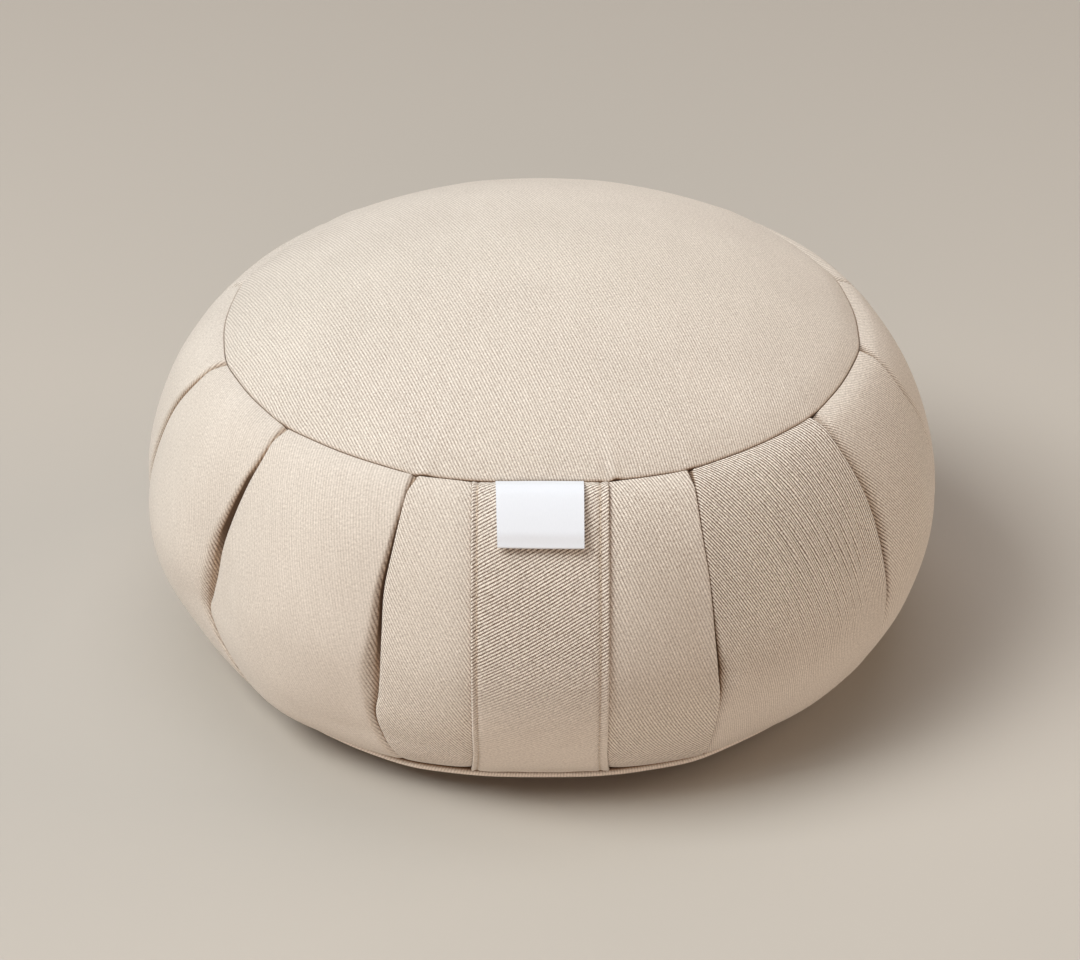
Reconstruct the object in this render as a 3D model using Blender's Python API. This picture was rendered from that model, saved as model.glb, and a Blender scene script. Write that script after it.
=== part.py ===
"""A round meditation cushion (zafu), modelled at its real size in metres.

The cushion is one filled solid: a crowned drum whose pleated side band is drawn in
at twelve knife pleats and at two seams. Four cut pieces lie on it, each a solid of
its own: the top panel, the bottom panel, the straight placket at the front and the
bare label that hangs over the placket from the top seam.

+Z is up. The origin is the centre of the flat base, and the placket faces -Y. Places
on the band are given by an angle about Z (0 at the placket, positive towards +X)
and by a share of the way down the band's outline, 0 at the top seam and 1 at the
bottom seam.
"""

import bisect
import math
from collections import namedtuple

import bmesh
import bpy
from mathutils import Vector
from mathutils.geometry import interpolate_bezier

MM = 0.001

# Driving dimensions of the filled form, in metres.
GIRTH_RADIUS = 0.165
GIRTH_HEIGHT = 0.0644
TOP_SEAM_RADIUS = 0.1292
TOP_SEAM_HEIGHT = 0.1339
TOP_SEAM_SLOPE = math.radians(15.7)
BOTTOM_SEAM_RADIUS = 0.1370
BOTTOM_SEAM_HEIGHT = 0.0080
BOTTOM_SEAM_SLOPE = math.radians(33.9)
CROWN_HEIGHT = 0.1715
CROWN_FULLNESS = 0.85  # exponent of the crown: 1 is a parabola, 0.5 an ellipse
BASE_RADIUS = 0.112  # the flat that the cushion rests on

# Cloth.
PANEL_THICKNESS = 1.6 * MM
LABEL_THICKNESS = 1.0 * MM
PIECE_GAP = 0.3 * MM
BASE_GAP = 0.5 * MM  # over the bottom panel, whose rim is tightly rolled
RIM_GAP = 0.7 * MM  # between a disc's rim and the band, which have unlike facets
SEAM_DIP = 0.9 * MM  # how far the cloth rolls down into a seam
SEAM_ROLL = 0.05  # share of the band over which it does so

# How the twelve pleats draw the band in.
PLEAT_PULL_WIDTH = math.radians(7.0)
PANEL_PUFF = 0.4 * MM
SEAM_CORNER = 0.9 * MM  # how far the top seam stands out at a pleat
SEAM_CORNER_WIDTH = math.radians(5.0)
FRONT_FLAT = 2.8 * MM  # how far the seams run straight behind the placket
FRONT_FLAT_WIDTH = math.radians(10.0)
FOOT_SPREAD = 8.2 * MM  # how far out the bottom seam is drawn round the placket
FOOT_LIFT = 4.3 * MM  # and how far up
FOOT_SPREAD_WIDTH = math.radians(36.0)
FOOT_START = 0.8  # share of the band below which it is

# Strips on the front, measured across the placket from its middle.
PLACKET_LEFT = -26.0 * MM
PLACKET_RIGHT = 25.5 * MM
PLACKET_PROUD = 0.9 * MM
PLACKET_ENDS = (0.012, 0.988)  # shares of the band at which it is cut off
LABEL_LEFT = -17.0 * MM
LABEL_RIGHT = 16.0 * MM
LABEL_DROP = 0.184  # share of the band that the label hangs over
LABEL_CLEARANCE = 0.4 * MM
LABEL_STAND_OFF = 1.6 * MM  # how far its free edge stands off the placket

# Facets.
UPPER_ARC_STEPS = 9
LOWER_ARC_STEPS = 8
COLUMNS_BETWEEN_PLEATS = 3
DISC_COLUMNS = 96
HALF_TURN = math.pi

# One knife pleat: the fold edge's angle in degrees at the top seam, at the girth and
# at the bottom seam, its depth in millimetres, and how far it draws the panels beside
# it in. The cloth nearer the placket lies over the cloth farther from it.
Pleat = namedtuple("Pleat", "top_deg girth_deg foot_deg depth_mm pull_mm")
PLEATS = (
    Pleat(-165.0, -165.0, -165.0, 2.6, 2.0),
    Pleat(-136.0, -137.0, -136.5, 2.8, 2.0),
    Pleat(-106.0, -108.0, -107.0, 2.8, 2.2),
    Pleat(-76.9, -80.5, -79.5, 3.0, 2.4),
    Pleat(-49.0, -52.8, -51.2, 3.8, 4.6),
    Pleat(-21.3, -22.2, -21.9, 3.4, 2.4),
    Pleat(25.1, 24.0, 25.8, 2.3, 1.6),
    Pleat(54.0, 56.5, 56.0, 2.9, 1.0),
    Pleat(80.8, 79.6, 80.0, 2.0, 1.4),
    Pleat(108.0, 107.5, 107.5, 2.6, 2.0),
    Pleat(136.5, 136.5, 136.5, 2.6, 2.0),
    Pleat(165.0, 165.0, 165.0, 2.6, 2.0),
)

# The pleat's cross-section, from the cloth that lies under it to the cloth on top:
# millimetres along the band where the pleat is tucked and where it is pressed flat
# at a seam, and height as a share of the pleat's depth.
FoldPoint = namedtuple("FoldPoint", "tucked_mm flat_mm height")
FOLD_SECTION = (
    FoldPoint(-8.5, -8.5, -0.04),
    FoldPoint(-3.2, -3.4, -0.40),
    FoldPoint(-0.3, -1.4, -0.84),
    FoldPoint(2.7, -0.5, -1.00),
    FoldPoint(2.9, 0.0, -0.78),
    FoldPoint(0.7, 0.4, -0.60),
    FoldPoint(-0.7, 0.8, -0.28),
    FoldPoint(-0.4, 1.3, 0.02),
    FoldPoint(1.1, 2.1, 0.17),
    FoldPoint(4.0, 4.2, 0.12),
    FoldPoint(8.5, 8.5, 0.0),
)

# How open the pleats are down the band: share of the full depth, and how far the
# cloth is tucked under.
Opening = namedtuple("Opening", "down depth tuck")
PLEAT_OPENINGS = (
    Opening(0.00, 0.16, 0.0),
    Opening(0.08, 0.40, 1.0),
    Opening(0.25, 0.80, 1.0),
    Opening(0.45, 1.00, 1.0),
    Opening(0.65, 0.90, 1.0),
    Opening(0.82, 0.60, 1.0),
    Opening(0.93, 0.36, 1.0),
    Opening(1.00, 0.16, 0.0),
)

# Where the uneven filling pushes the band out, or a pleat draws it in, past the even
# form: the middle as an angle in degrees and a share down the band, how far round and
# how far down it reaches, and its height in millimetres.
Bulge = namedtuple("Bulge", "angle_deg down width_deg reach out_mm")
BULGES = (
    Bulge(-113.0, 0.09, 18.0, 0.10, -1.0),
    Bulge(-65.0, 0.77, 9.0, 0.16, -2.6),
    Bulge(-44.0, 0.88, 9.0, 0.09, 2.2),
    Bulge(-27.0, 0.93, 10.0, 0.08, 1.3),
    Bulge(0.0, 0.97, 13.0, 0.06, 1.3),
    Bulge(25.0, 0.94, 10.0, 0.08, 1.2),
    Bulge(46.0, 0.90, 12.0, 0.09, 1.5),
    Bulge(70.0, 0.68, 8.0, 0.12, -1.0),
    Bulge(108.0, 0.20, 22.0, 0.24, -0.8),
)

# Colours (linear RGB), roughness and metallic value of each finish.
Finish = namedtuple("Finish", "colour roughness metallic")
TWILL = Finish((0.72, 0.64, 0.53), 0.92, 0.0)
LABEL_TAPE = Finish((0.86, 0.86, 0.87), 0.6, 0.0)


# ---------------------------------------------------------------- outlines

def polar(angle, radius, height):
    """The point at an angle about Z, 0 facing -Y and positive towards +X."""
    return Vector((radius * math.sin(angle), -radius * math.cos(angle), height))


def bell(offset, width):
    """A smooth bump, 1 at offset 0."""
    return math.exp(-(offset / width) ** 2)


def band_outline():
    """The band's outline, as (radius, height) from the top seam to the bottom seam."""
    top = Vector((TOP_SEAM_RADIUS, TOP_SEAM_HEIGHT))
    girth = Vector((GIRTH_RADIUS, GIRTH_HEIGHT))
    bottom = Vector((BOTTOM_SEAM_RADIUS, BOTTOM_SEAM_HEIGHT))
    upper_reach = girth - top
    lower_reach = girth - bottom
    top_handle = Vector((math.cos(TOP_SEAM_SLOPE), -math.sin(TOP_SEAM_SLOPE)))
    bottom_handle = Vector((math.cos(BOTTOM_SEAM_SLOPE), math.sin(BOTTOM_SEAM_SLOPE)))
    upper = interpolate_bezier(
        top,
        top + top_handle * 0.61 * upper_reach.x,
        girth + Vector((0.0, -0.24 * upper_reach.y)),
        girth,
        UPPER_ARC_STEPS + 1,
    )
    lower = interpolate_bezier(
        girth,
        girth + Vector((0.0, -0.40 * lower_reach.y)),
        bottom + bottom_handle * 0.90 * lower_reach.x,
        bottom,
        LOWER_ARC_STEPS + 1,
    )
    return upper + lower[1:]


def outline_shares(outline):
    """The share of the outline's length that lies above each of its points."""
    lengths = [0.0]
    for before, after in zip(outline, outline[1:]):
        lengths.append(lengths[-1] + (after - before).length)
    return [length / lengths[-1] for length in lengths]


OUTLINE = band_outline()
DOWN = outline_shares(OUTLINE)
GIRTH_DOWN = DOWN[UPPER_ARC_STEPS]


def table_value(rows, column, place):
    """A column of a table whose first column rises, read smoothly at a place in it."""
    places = [row[0] for row in rows]
    index = min(max(bisect.bisect_right(places, place) - 1, 0), len(rows) - 2)
    low, high = rows[index], rows[index + 1]
    share = min(max((place - low[0]) / (high[0] - low[0]), 0.0), 1.0)
    share = share * share * (3.0 - 2.0 * share)
    start, end = getattr(low, column), getattr(high, column)
    return start + (end - start) * share


def pleat_angle(pleat, down):
    """The angle of a pleat's fold edge, on a smooth curve from seam to seam."""
    if down < GIRTH_DOWN:
        share = math.sin(0.5 * HALF_TURN * down / GIRTH_DOWN)
        return math.radians(pleat.top_deg + (pleat.girth_deg - pleat.top_deg) * share)
    share = (down - GIRTH_DOWN) / (1.0 - GIRTH_DOWN)
    share = 1.0 - math.cos(0.5 * HALF_TURN * share)
    return math.radians(pleat.girth_deg + (pleat.foot_deg - pleat.girth_deg) * share)


def nearest_pleat(angle, down):
    """The nearest pleat, and the angle to it."""
    def distance(pleat):
        offset = angle - pleat_angle(pleat, down)
        return abs((offset + HALF_TURN) % (2.0 * HALF_TURN) - HALF_TURN)

    pleat = min(PLEATS, key=distance)
    return pleat, distance(pleat)


def bulge_out(angle, down):
    """How far the bulges of the filling stand out at a place on the band."""
    out = 0.0
    for bulge in BULGES:
        round_it = bell(angle - math.radians(bulge.angle_deg), math.radians(bulge.width_deg))
        out += bulge.out_mm * MM * round_it * bell(down - bulge.down, bulge.reach)
    return out


def band_point(angle, down, out=0.0):
    """A point on the band as its panels and seams shape it, before the folds.

    The point is moved out along the outline's normal by out.
    """
    index = min(max(bisect.bisect_right(DOWN, down) - 1, 0), len(DOWN) - 2)
    share = (down - DOWN[index]) / (DOWN[index + 1] - DOWN[index])
    place = OUTLINE[index].lerp(OUTLINE[index + 1], share)
    before, after = OUTLINE[max(index - 1, 0)], OUTLINE[min(index + 2, len(DOWN) - 1)]
    along = (OUTLINE[index + 1] - before).lerp(after - OUTLINE[index], share).normalized()
    normal = Vector((-along.y, along.x))

    pleat, distance = nearest_pleat(angle, down)
    fullness = math.sin(HALF_TURN * down) ** 0.8 if 0.0 < down < 1.0 else 0.0
    puff = PANEL_PUFF - pleat.pull_mm * MM * bell(distance, PLEAT_PULL_WIDTH)
    bulge = bulge_out(angle, down)
    near_seam = max(1.0 - down / SEAM_ROLL, 0.0) + max(1.0 - (1.0 - down) / SEAM_ROLL, 0.0)
    place = place + normal * (out + bulge + puff * fullness - SEAM_DIP * near_seam)

    corner = SEAM_CORNER * bell(distance, SEAM_CORNER_WIDTH)
    flat = FRONT_FLAT * bell(angle, FRONT_FLAT_WIDTH)
    radius = place.x + (corner - flat) * math.cos(HALF_TURN * down) ** 2
    foot = bell(angle, FOOT_SPREAD_WIDTH) * max(down - FOOT_START, 0.0) / (1.0 - FOOT_START)
    return polar(angle, radius + FOOT_SPREAD * foot, place.y + FOOT_LIFT * foot)


def seam_radius(angle, down):
    """The radius of the band's edge at the top seam (0) or the bottom seam (1)."""
    edge = band_point(angle, down)
    return math.hypot(edge.x, edge.y)


def seam_ring(down):
    """Points round the band's edge at one seam."""
    angles = [2.0 * HALF_TURN * column / DISC_COLUMNS for column in range(DISC_COLUMNS)]
    return [band_point(angle - HALF_TURN, down) for angle in angles]


def seam_mean(down):
    """The mean radius and height of the band's edge at one seam."""
    ring = seam_ring(down)
    radius = sum(math.hypot(place.x, place.y) for place in ring) / len(ring)
    return Vector((radius, sum(place.z for place in ring) / len(ring)))


# A point of a disc's outline: its place, and how far it follows the uneven seam.
DiscPoint = namedtuple("DiscPoint", "radius height rim_share")


def offset_outline(outline, inward):
    """A disc's outline moved towards the cushion's middle by inward."""
    middle = Vector((0.0, GIRTH_HEIGHT))
    places = [Vector((point.radius, point.height)) for point in outline]
    moved = []
    for index, point in enumerate(outline):
        along = places[min(index + 1, len(places) - 1)] - places[max(index - 1, 0)]
        normal = Vector((-along.y, along.x)).normalized()
        if normal.dot(middle - places[index]) < 0.0:
            normal.negate()
        place = places[index] + normal * inward
        moved.append(DiscPoint(place.x, place.y, point.rim_share))
    return moved


def crown_outline():
    """The top panel's outer face, from its rim to the middle of the crown."""
    crown = CROWN_HEIGHT - TOP_SEAM_HEIGHT
    rim = seam_mean(0.0)
    outline = [DiscPoint(rim.x - RIM_GAP, rim.y, 1.0)]
    for share in (0.965, 0.9, 0.8, 0.65, 0.45, 0.25, 0.07):
        height = TOP_SEAM_HEIGHT + crown * (1.0 - share * share) ** CROWN_FULLNESS
        outline.append(DiscPoint(share * TOP_SEAM_RADIUS, height, share ** 4))
    return outline


def base_outline():
    """The bottom panel's outer face, from its rolled rim to the middle of the flat."""
    rim = seam_mean(1.0) + Vector((RIM_GAP, -RIM_GAP))
    flat_edge = Vector((BASE_RADIUS, 0.0))
    roll = interpolate_bezier(
        rim,
        rim + Vector((2.6 * MM, -2.4 * MM)),
        flat_edge + Vector((16.0 * MM, 0.0)),
        flat_edge,
        6,
    )
    outline = [DiscPoint(place.x, place.y, place.y / rim.y) for place in roll]
    return outline + [DiscPoint(share * BASE_RADIUS, 0.0, 0.0) for share in (0.9, 0.5, 0.12)]


# ---------------------------------------------------------------- meshes

def ring_columns(rings):
    """How many columns each ring of a disc has: fewer towards its middle."""
    shares = (1.0, 1.0, 1.0, 1.0, 1.0, 0.75, 0.5, 0.25, 0.125)
    return [int(DISC_COLUMNS * share) for share in shares[-rings:]]


def disc_rings(outline, seam_down):
    """The points of a disc's rings, which follow the uneven seam round its rim."""
    mean = seam_mean(seam_down)
    rings = []
    for point, columns in zip(outline, ring_columns(len(outline))):
        ring = []
        for column in range(columns):
            angle = 2.0 * HALF_TURN * column / columns - HALF_TURN
            seam = band_point(angle, seam_down)
            spread = (math.hypot(seam.x, seam.y) - mean.x) * point.rim_share
            lift = (seam.z - mean.y) * point.rim_share
            ring.append(polar(angle, point.radius + spread, point.height + lift))
        rings.append(ring)
    return rings


def add_ring(bm, points):
    """New vertices at the points."""
    return [bm.verts.new(point) for point in points]


def vert_angle(vert):
    """A vertex's angle about Z, from -pi at the back."""
    return math.atan2(vert.co.x, -vert.co.y)


def lace(bm, ring, other):
    """Fill between two closed rings of vertices, however many columns each has."""
    ring = sorted(ring, key=vert_angle)
    other = sorted(other, key=vert_angle)
    step, other_step = 0, 0
    while step < len(ring) or other_step < len(other):
        here, there = ring[step % len(ring)], other[other_step % len(other)]
        ahead = vert_angle(ring[step + 1]) if step + 1 < len(ring) else HALF_TURN
        other_ahead = HALF_TURN
        if other_step + 1 < len(other):
            other_ahead = vert_angle(other[other_step + 1])
        ring_is_next = step < len(ring) and (other_step >= len(other) or ahead <= other_ahead)
        if ring_is_next:
            step += 1
            bm.faces.new((here, there, ring[step % len(ring)]))
        else:
            other_step += 1
            bm.faces.new((here, there, other[other_step % len(other)]))


def lace_rings(bm, rings):
    """Lace each ring to the next, and close the last one."""
    for ring, following in zip(rings, rings[1:]):
        lace(bm, ring, following)
    bm.faces.new(rings[-1])


def material(name, finish):
    """A plain finish with a colour, a roughness and a metallic value."""
    made = bpy.data.materials.new(name)
    made.use_nodes = True
    shader = made.node_tree.nodes["Principled BSDF"]
    shader.inputs["Base Color"].default_value = (*finish.colour, 1.0)
    shader.inputs["Roughness"].default_value = finish.roughness
    shader.inputs["Metallic"].default_value = finish.metallic
    return made


def add_object(name, bm, finish_material):
    """Turn the mesh's faces outwards and put it in the scene as a named object."""
    bmesh.ops.recalc_face_normals(bm, faces=bm.faces)
    mesh = bpy.data.meshes.new(name)
    bm.to_mesh(mesh)
    bm.free()
    mesh.shade_smooth()
    mesh.set_sharp_from_angle(angle=math.radians(40.0))
    mesh.materials.append(finish_material)
    made = bpy.data.objects.new(name, mesh)
    bpy.context.scene.collection.objects.link(made)
    return made


def thicken(sheet, thickness):
    """Give a sheet its thickness towards the filling."""
    solidify = sheet.modifiers.new("thickness", "SOLIDIFY")
    solidify.thickness = thickness
    solidify.offset = -1.0
    solidify.use_even_offset = True


# ---------------------------------------------------------------- pieces

def fold_columns(pleat, down):
    """The (angle, out) of each column through one pleat, in rising angle."""
    depth = pleat.depth_mm * MM * table_value(PLEAT_OPENINGS, "depth", down)
    tuck = table_value(PLEAT_OPENINGS, "tuck", down)
    edge_angle = pleat_angle(pleat, down)
    radius = seam_radius(edge_angle, down)
    towards_placket = 1.0 if pleat.girth_deg < 0.0 else -1.0
    columns = []
    for point in FOLD_SECTION:
        along = (point.flat_mm + (point.tucked_mm - point.flat_mm) * tuck) * MM
        columns.append((edge_angle + towards_placket * along / radius, point.height * depth))
    return columns if towards_placket > 0.0 else columns[::-1]


def placket_bed_columns(down):
    """The (angle, out) of the columns of the shallow bed that the placket lies in."""
    bed = PLACKET_PROUD - PANEL_THICKNESS - PIECE_GAP
    radius = seam_radius(0.0, down)
    left, right = PLACKET_LEFT - PIECE_GAP, PLACKET_RIGHT + PIECE_GAP
    places = [(left - 0.3 * MM, 0.0), (left, bed)]
    places += [(left + (right - left) * share, bed) for share in (0.25, 0.5, 0.75)]
    places += [(right, bed), (right + 0.3 * MM, 0.0)]
    return [(math.asin(across / radius), out) for across, out in places]


def band_columns(down):
    """The (angle, out) of every column of the filled body at one height."""
    bed = placket_bed_columns(down)
    runs = [fold_columns(pleat, down) for pleat in PLEATS]
    runs.insert(sum(pleat.girth_deg < 0.0 for pleat in PLEATS), bed)
    columns = []
    for run, following in zip(runs, runs[1:] + runs[:1]):
        columns += run
        between = 1 if bed in (run, following) else COLUMNS_BETWEEN_PLEATS
        start = run[-1][0]
        gap = (following[0][0] - start) % (2.0 * HALF_TURN)
        for step in range(1, between + 1):
            columns.append((start + gap * step / (between + 1), 0.0))
    return columns


def filled_body(finish_material):
    """The filling in its pleated band, with the beds of the panels and the placket."""
    bm = bmesh.new()
    band = []
    for down in DOWN:
        points = [band_point(angle, down, out) for angle, out in band_columns(down)]
        band.append(add_ring(bm, points))
    for ring, below in zip(band, band[1:]):
        for column, vert in enumerate(ring):
            after = (column + 1) % len(ring)
            bm.faces.new((vert, below[column], below[after], ring[after]))

    top_depth = PANEL_THICKNESS + PIECE_GAP
    base_depth = PANEL_THICKNESS + BASE_GAP
    top_bed = disc_rings(offset_outline(crown_outline(), top_depth), 0.0)
    top_wall = [place - Vector((0.0, 0.0, PANEL_THICKNESS)) for place in seam_ring(0.0)]
    base_bed = disc_rings(offset_outline(base_outline(), base_depth), 1.0)
    lace_rings(bm, [band[0]] + [add_ring(bm, ring) for ring in [top_wall] + top_bed])
    lace_rings(bm, [band[-1]] + [add_ring(bm, ring) for ring in base_bed])
    return add_object("filled_body", bm, finish_material)


def disc_panel(name, outline, seam_down, finish_material):
    """A round panel of cloth, sewn to the band along one seam."""
    bm = bmesh.new()
    faces = []
    for depth in (0.0, PANEL_THICKNESS):
        rings = disc_rings(offset_outline(outline, depth), seam_down)
        faces.append([add_ring(bm, ring) for ring in rings])
    outer, inner = faces
    lace_rings(bm, outer)
    lace_rings(bm, inner)
    lace(bm, outer[0], inner[0])
    return add_object(name, bm, finish_material)


def front_strip(name, left, right, downs, out_at, columns, thickness, finish_material):
    """A strip of cloth on the front of the band, out_at(down) off its surface."""
    bm = bmesh.new()
    rows = []
    for down in downs:
        radius = seam_radius(0.0, down)
        row = []
        for column in range(columns + 1):
            across = left + (right - left) * column / columns
            row.append(band_point(math.asin(across / radius), down, out_at(down)))
        rows.append(add_ring(bm, row))
    for row, below in zip(rows, rows[1:]):
        for column in range(columns):
            bm.faces.new((row[column], below[column], below[column + 1], row[column + 1]))
    strip = add_object(name, bm, finish_material)
    thicken(strip, thickness)
    return strip


def placket(finish_material):
    """The straight strip at the front, from seam to seam."""
    start, end = PLACKET_ENDS
    downs = [min(max(down, start), end) for down in DOWN]
    return front_strip(
        "front_placket", PLACKET_LEFT, PLACKET_RIGHT, downs,
        lambda down: PLACKET_PROUD, 6, PANEL_THICKNESS, finish_material,
    )


def label(finish_material):
    """The bare label, which hangs from the top seam and stands off at its free edge."""
    rows = 8
    bottom = PLACKET_PROUD + LABEL_CLEARANCE + LABEL_THICKNESS

    def out_at(down):
        return bottom + LABEL_STAND_OFF * (down / LABEL_DROP) ** 2

    downs = [LABEL_DROP * row / rows for row in range(rows + 1)]
    return front_strip(
        "label_tab", LABEL_LEFT, LABEL_RIGHT, downs,
        out_at, 6, LABEL_THICKNESS, finish_material,
    )


def main():
    """Model every piece of the cushion."""
    for old in list(bpy.data.objects):
        bpy.data.objects.remove(old, do_unlink=True)
    twill = material("cotton_twill", TWILL)
    tape = material("label_tape", LABEL_TAPE)
    filled_body(twill)
    disc_panel("top_panel", crown_outline(), 0.0, twill)
    disc_panel("bottom_panel", base_outline(), 1.0, twill)
    placket(twill)
    label(tape)


main()
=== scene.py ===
"""The looks of a round meditation cushion (zafu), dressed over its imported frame.

Five pieces stand for the five plain solids of the frame: the pleated body, the top
panel, the base panel, the placket with its stitching, and the bare folded label.

+Z is up, the origin is the centre of the flat base and the placket faces -Y. A place
on the side band is an angle about Z (0 at the placket, positive towards +X) and a
share of the way down the band's outline, from 0 at the top seam to 1 at the bottom
seam. Lengths in tables are in millimetres, as their names say, and in metres elsewhere.
"""

import logging
import math
from dataclasses import dataclass
from enum import Enum
from functools import cached_property
from typing import Callable, Sequence

import bmesh
import bpy
import numpy as np
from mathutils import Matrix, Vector
from mathutils.geometry import interpolate_bezier


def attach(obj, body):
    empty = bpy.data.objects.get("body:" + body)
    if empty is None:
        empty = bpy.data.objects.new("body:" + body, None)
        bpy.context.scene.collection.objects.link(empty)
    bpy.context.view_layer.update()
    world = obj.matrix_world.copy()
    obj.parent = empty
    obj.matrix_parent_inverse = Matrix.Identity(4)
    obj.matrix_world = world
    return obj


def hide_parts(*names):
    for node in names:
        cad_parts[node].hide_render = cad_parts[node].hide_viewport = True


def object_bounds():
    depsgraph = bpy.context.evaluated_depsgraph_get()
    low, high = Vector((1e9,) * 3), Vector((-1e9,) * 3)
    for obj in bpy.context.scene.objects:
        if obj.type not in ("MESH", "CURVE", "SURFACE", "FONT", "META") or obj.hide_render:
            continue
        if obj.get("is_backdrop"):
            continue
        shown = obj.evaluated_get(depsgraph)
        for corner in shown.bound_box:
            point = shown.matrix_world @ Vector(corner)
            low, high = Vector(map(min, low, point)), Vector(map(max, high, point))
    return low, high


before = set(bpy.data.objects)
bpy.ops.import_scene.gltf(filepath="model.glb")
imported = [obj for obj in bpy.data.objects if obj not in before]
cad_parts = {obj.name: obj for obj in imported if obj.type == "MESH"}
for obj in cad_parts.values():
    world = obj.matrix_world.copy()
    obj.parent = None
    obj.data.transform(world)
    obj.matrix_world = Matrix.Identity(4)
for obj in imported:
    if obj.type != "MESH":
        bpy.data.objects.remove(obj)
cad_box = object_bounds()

LOG = logging.getLogger("zafu")
MM = 0.001
HALF_TURN = math.pi
TURN = 2.0 * math.pi
DEG = math.pi / 180.0
Array = np.ndarray
Piece = bpy.types.Object
Triple = tuple[float, float, float]
Rows = tuple[tuple[float, float], ...]
Table = tuple[tuple[float, ...], ...]


class Seam(Enum):
    """The two round seams, each with its share of the way down the band."""

    TOP = 0.0
    BOTTOM = 1.0


class Held(Enum):
    STRETCHED = "stretched"
    FOLDED = "folded"


# ---- curves

def hermite(places: Sequence[float], values: Array, at: Array) -> Array:
    """Read a table on a smooth curve through its rows.

    Args:
        places: The rising places of the rows.
        values: One value, or one row of values, for each place.
        at: Where to read, held within the table's ends.

    Returns:
        The values there, in the shape of at and then of one row.
    """
    places, values = np.asarray(places, dtype=float), np.asarray(values, dtype=float)
    slopes = np.gradient(values, places, axis=0)
    at = np.clip(np.asarray(at, dtype=float), places[0], places[-1])
    low = np.clip(np.searchsorted(places, at, side="right") - 1, 0, len(places) - 2)
    span = places[low + 1] - places[low]
    shape = at.shape + (1,) * (values.ndim - 1)
    share, span = ((at - places[low]) / span).reshape(shape), span.reshape(shape)
    square, cube = share ** 2, share ** 3
    return (
        (2 * cube - 3 * square + 1) * values[low]
        + (cube - 2 * square + share) * span * slopes[low]
        + (3 * square - 2 * cube) * values[low + 1]
        + (cube - square) * span * slopes[low + 1]
    )


def table(rows: Rows, at: Array) -> Array:
    """Read the second column of a table smoothly at places in its first."""
    return hermite(*zip(*rows), at)


def bell(offset: Array, width: float) -> Array:
    """A smooth bump, 1 at offset 0."""
    return np.exp(-(offset / width) ** 2)


def ease(share: Array) -> Array:
    """A smooth step from 0 to 1 as the share goes from 0 to 1."""
    share = np.clip(share, 0.0, 1.0)
    return share * share * (3.0 - 2.0 * share)


def fading(away: Array, reach: float) -> Array:
    """1 at an edge, falling evenly to 0 at a reach away from it."""
    return np.clip(1.0 - away / reach, 0.0, 1.0)


def wrapped(angle: Array) -> Array:
    """The same angle, brought between minus and plus half a turn."""
    return (angle + HALF_TURN) % TURN - HALF_TURN


def round_angles(count: int) -> Array:
    """Even angles for a full turn, from minus half a turn."""
    return np.arange(count) * TURN / count - HALF_TURN


def polar(angle: Array, radius: Array, height: Array) -> Array:
    """Points at an angle about Z, 0 facing -Y and positive towards +X."""
    angle, radius, height = np.broadcast_arrays(angle, radius, height)
    return np.stack((radius * np.sin(angle), -radius * np.cos(angle), height), axis=-1)


def lengths(points: Array) -> Array:
    """The length along a line of points up to each of them."""
    return np.append(0.0, np.cumsum(np.linalg.norm(np.diff(points, axis=0), axis=1)))


def loop_lengths(points: Array) -> Array:
    """The length along a closed line up to each point, and once round at the end."""
    return lengths(np.vstack((points, points[:1])))


def waves(x: Array, y: Array, pitch: float) -> Array:
    """A gentle unevenness, the same on each run.

    Args:
        x: Places one way, in the unit of the pitch.
        y: Places the other way.
        pitch: About how far apart its crests lie.

    Returns:
        A height between about -1 and 1.
    """
    parts = ((0.83, 0.41, 0.6, 1.0), (-0.37, 1.13, 2.1, 1.0), (1.61, -0.72, 4.0, 0.6))
    return sum(
        size * np.sin(TURN * (over * x + up * y) / pitch + start)
        for over, up, start, size in parts
    ) / 2.6


def painted_foot_light(angle: Array, down: Array) -> Array:
    """Painted light: the cloth is painted paler towards the front of the foot, as a negative
    painted shade.
    """
    return -0.40 * ease((down - 0.5) / 0.3) * bell(wrapped(angle), 56.0 * DEG)


def seam_shade(angle: Array) -> Array:
    """How much shade is painted into the top seam's groove: less on the left, where it lies open to
    the light.
    """
    return 1.0 - 0.6 * bell(wrapped(angle + 88.0 * DEG), 42.0 * DEG)


# ---- the sewn form

@dataclass(frozen=True)
class Pleat:
    """One knife pleat: the cloth nearer the placket lies over the cloth beyond it.

    path is the fold edge's angle in degrees down the band, opening the share of the
    pleat's depth down the band, shoulder_mm how far round the cloth beyond it dips and
    spread the share of that down the band. pull_mm is how far the pleat draws in the
    panels on both sides, edge_sunk the share of the depth by which the fold edge
    itself lies lower than its panel. dark is how dark the painted shade line along the
    fold edge is down the band, and line_deg how steeply one looks past the edge to see
    that painted line.
    """

    path: Rows
    opening: Rows
    depth_mm: float
    shoulder_mm: float
    pull_mm: float
    edge_sunk: float
    spread: Rows
    dark: Rows
    line_deg: float

    def angle(self, down: Array) -> Array:
        """The fold edge's angle down the band, in radians."""
        return np.radians(table(self.path, down))

    @property
    def towards_placket(self) -> float:
        """1 where the placket lies at a larger angle, and -1 where at a smaller."""
        return 1.0 if self.path[0][1] < 0.0 else -1.0


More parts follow.
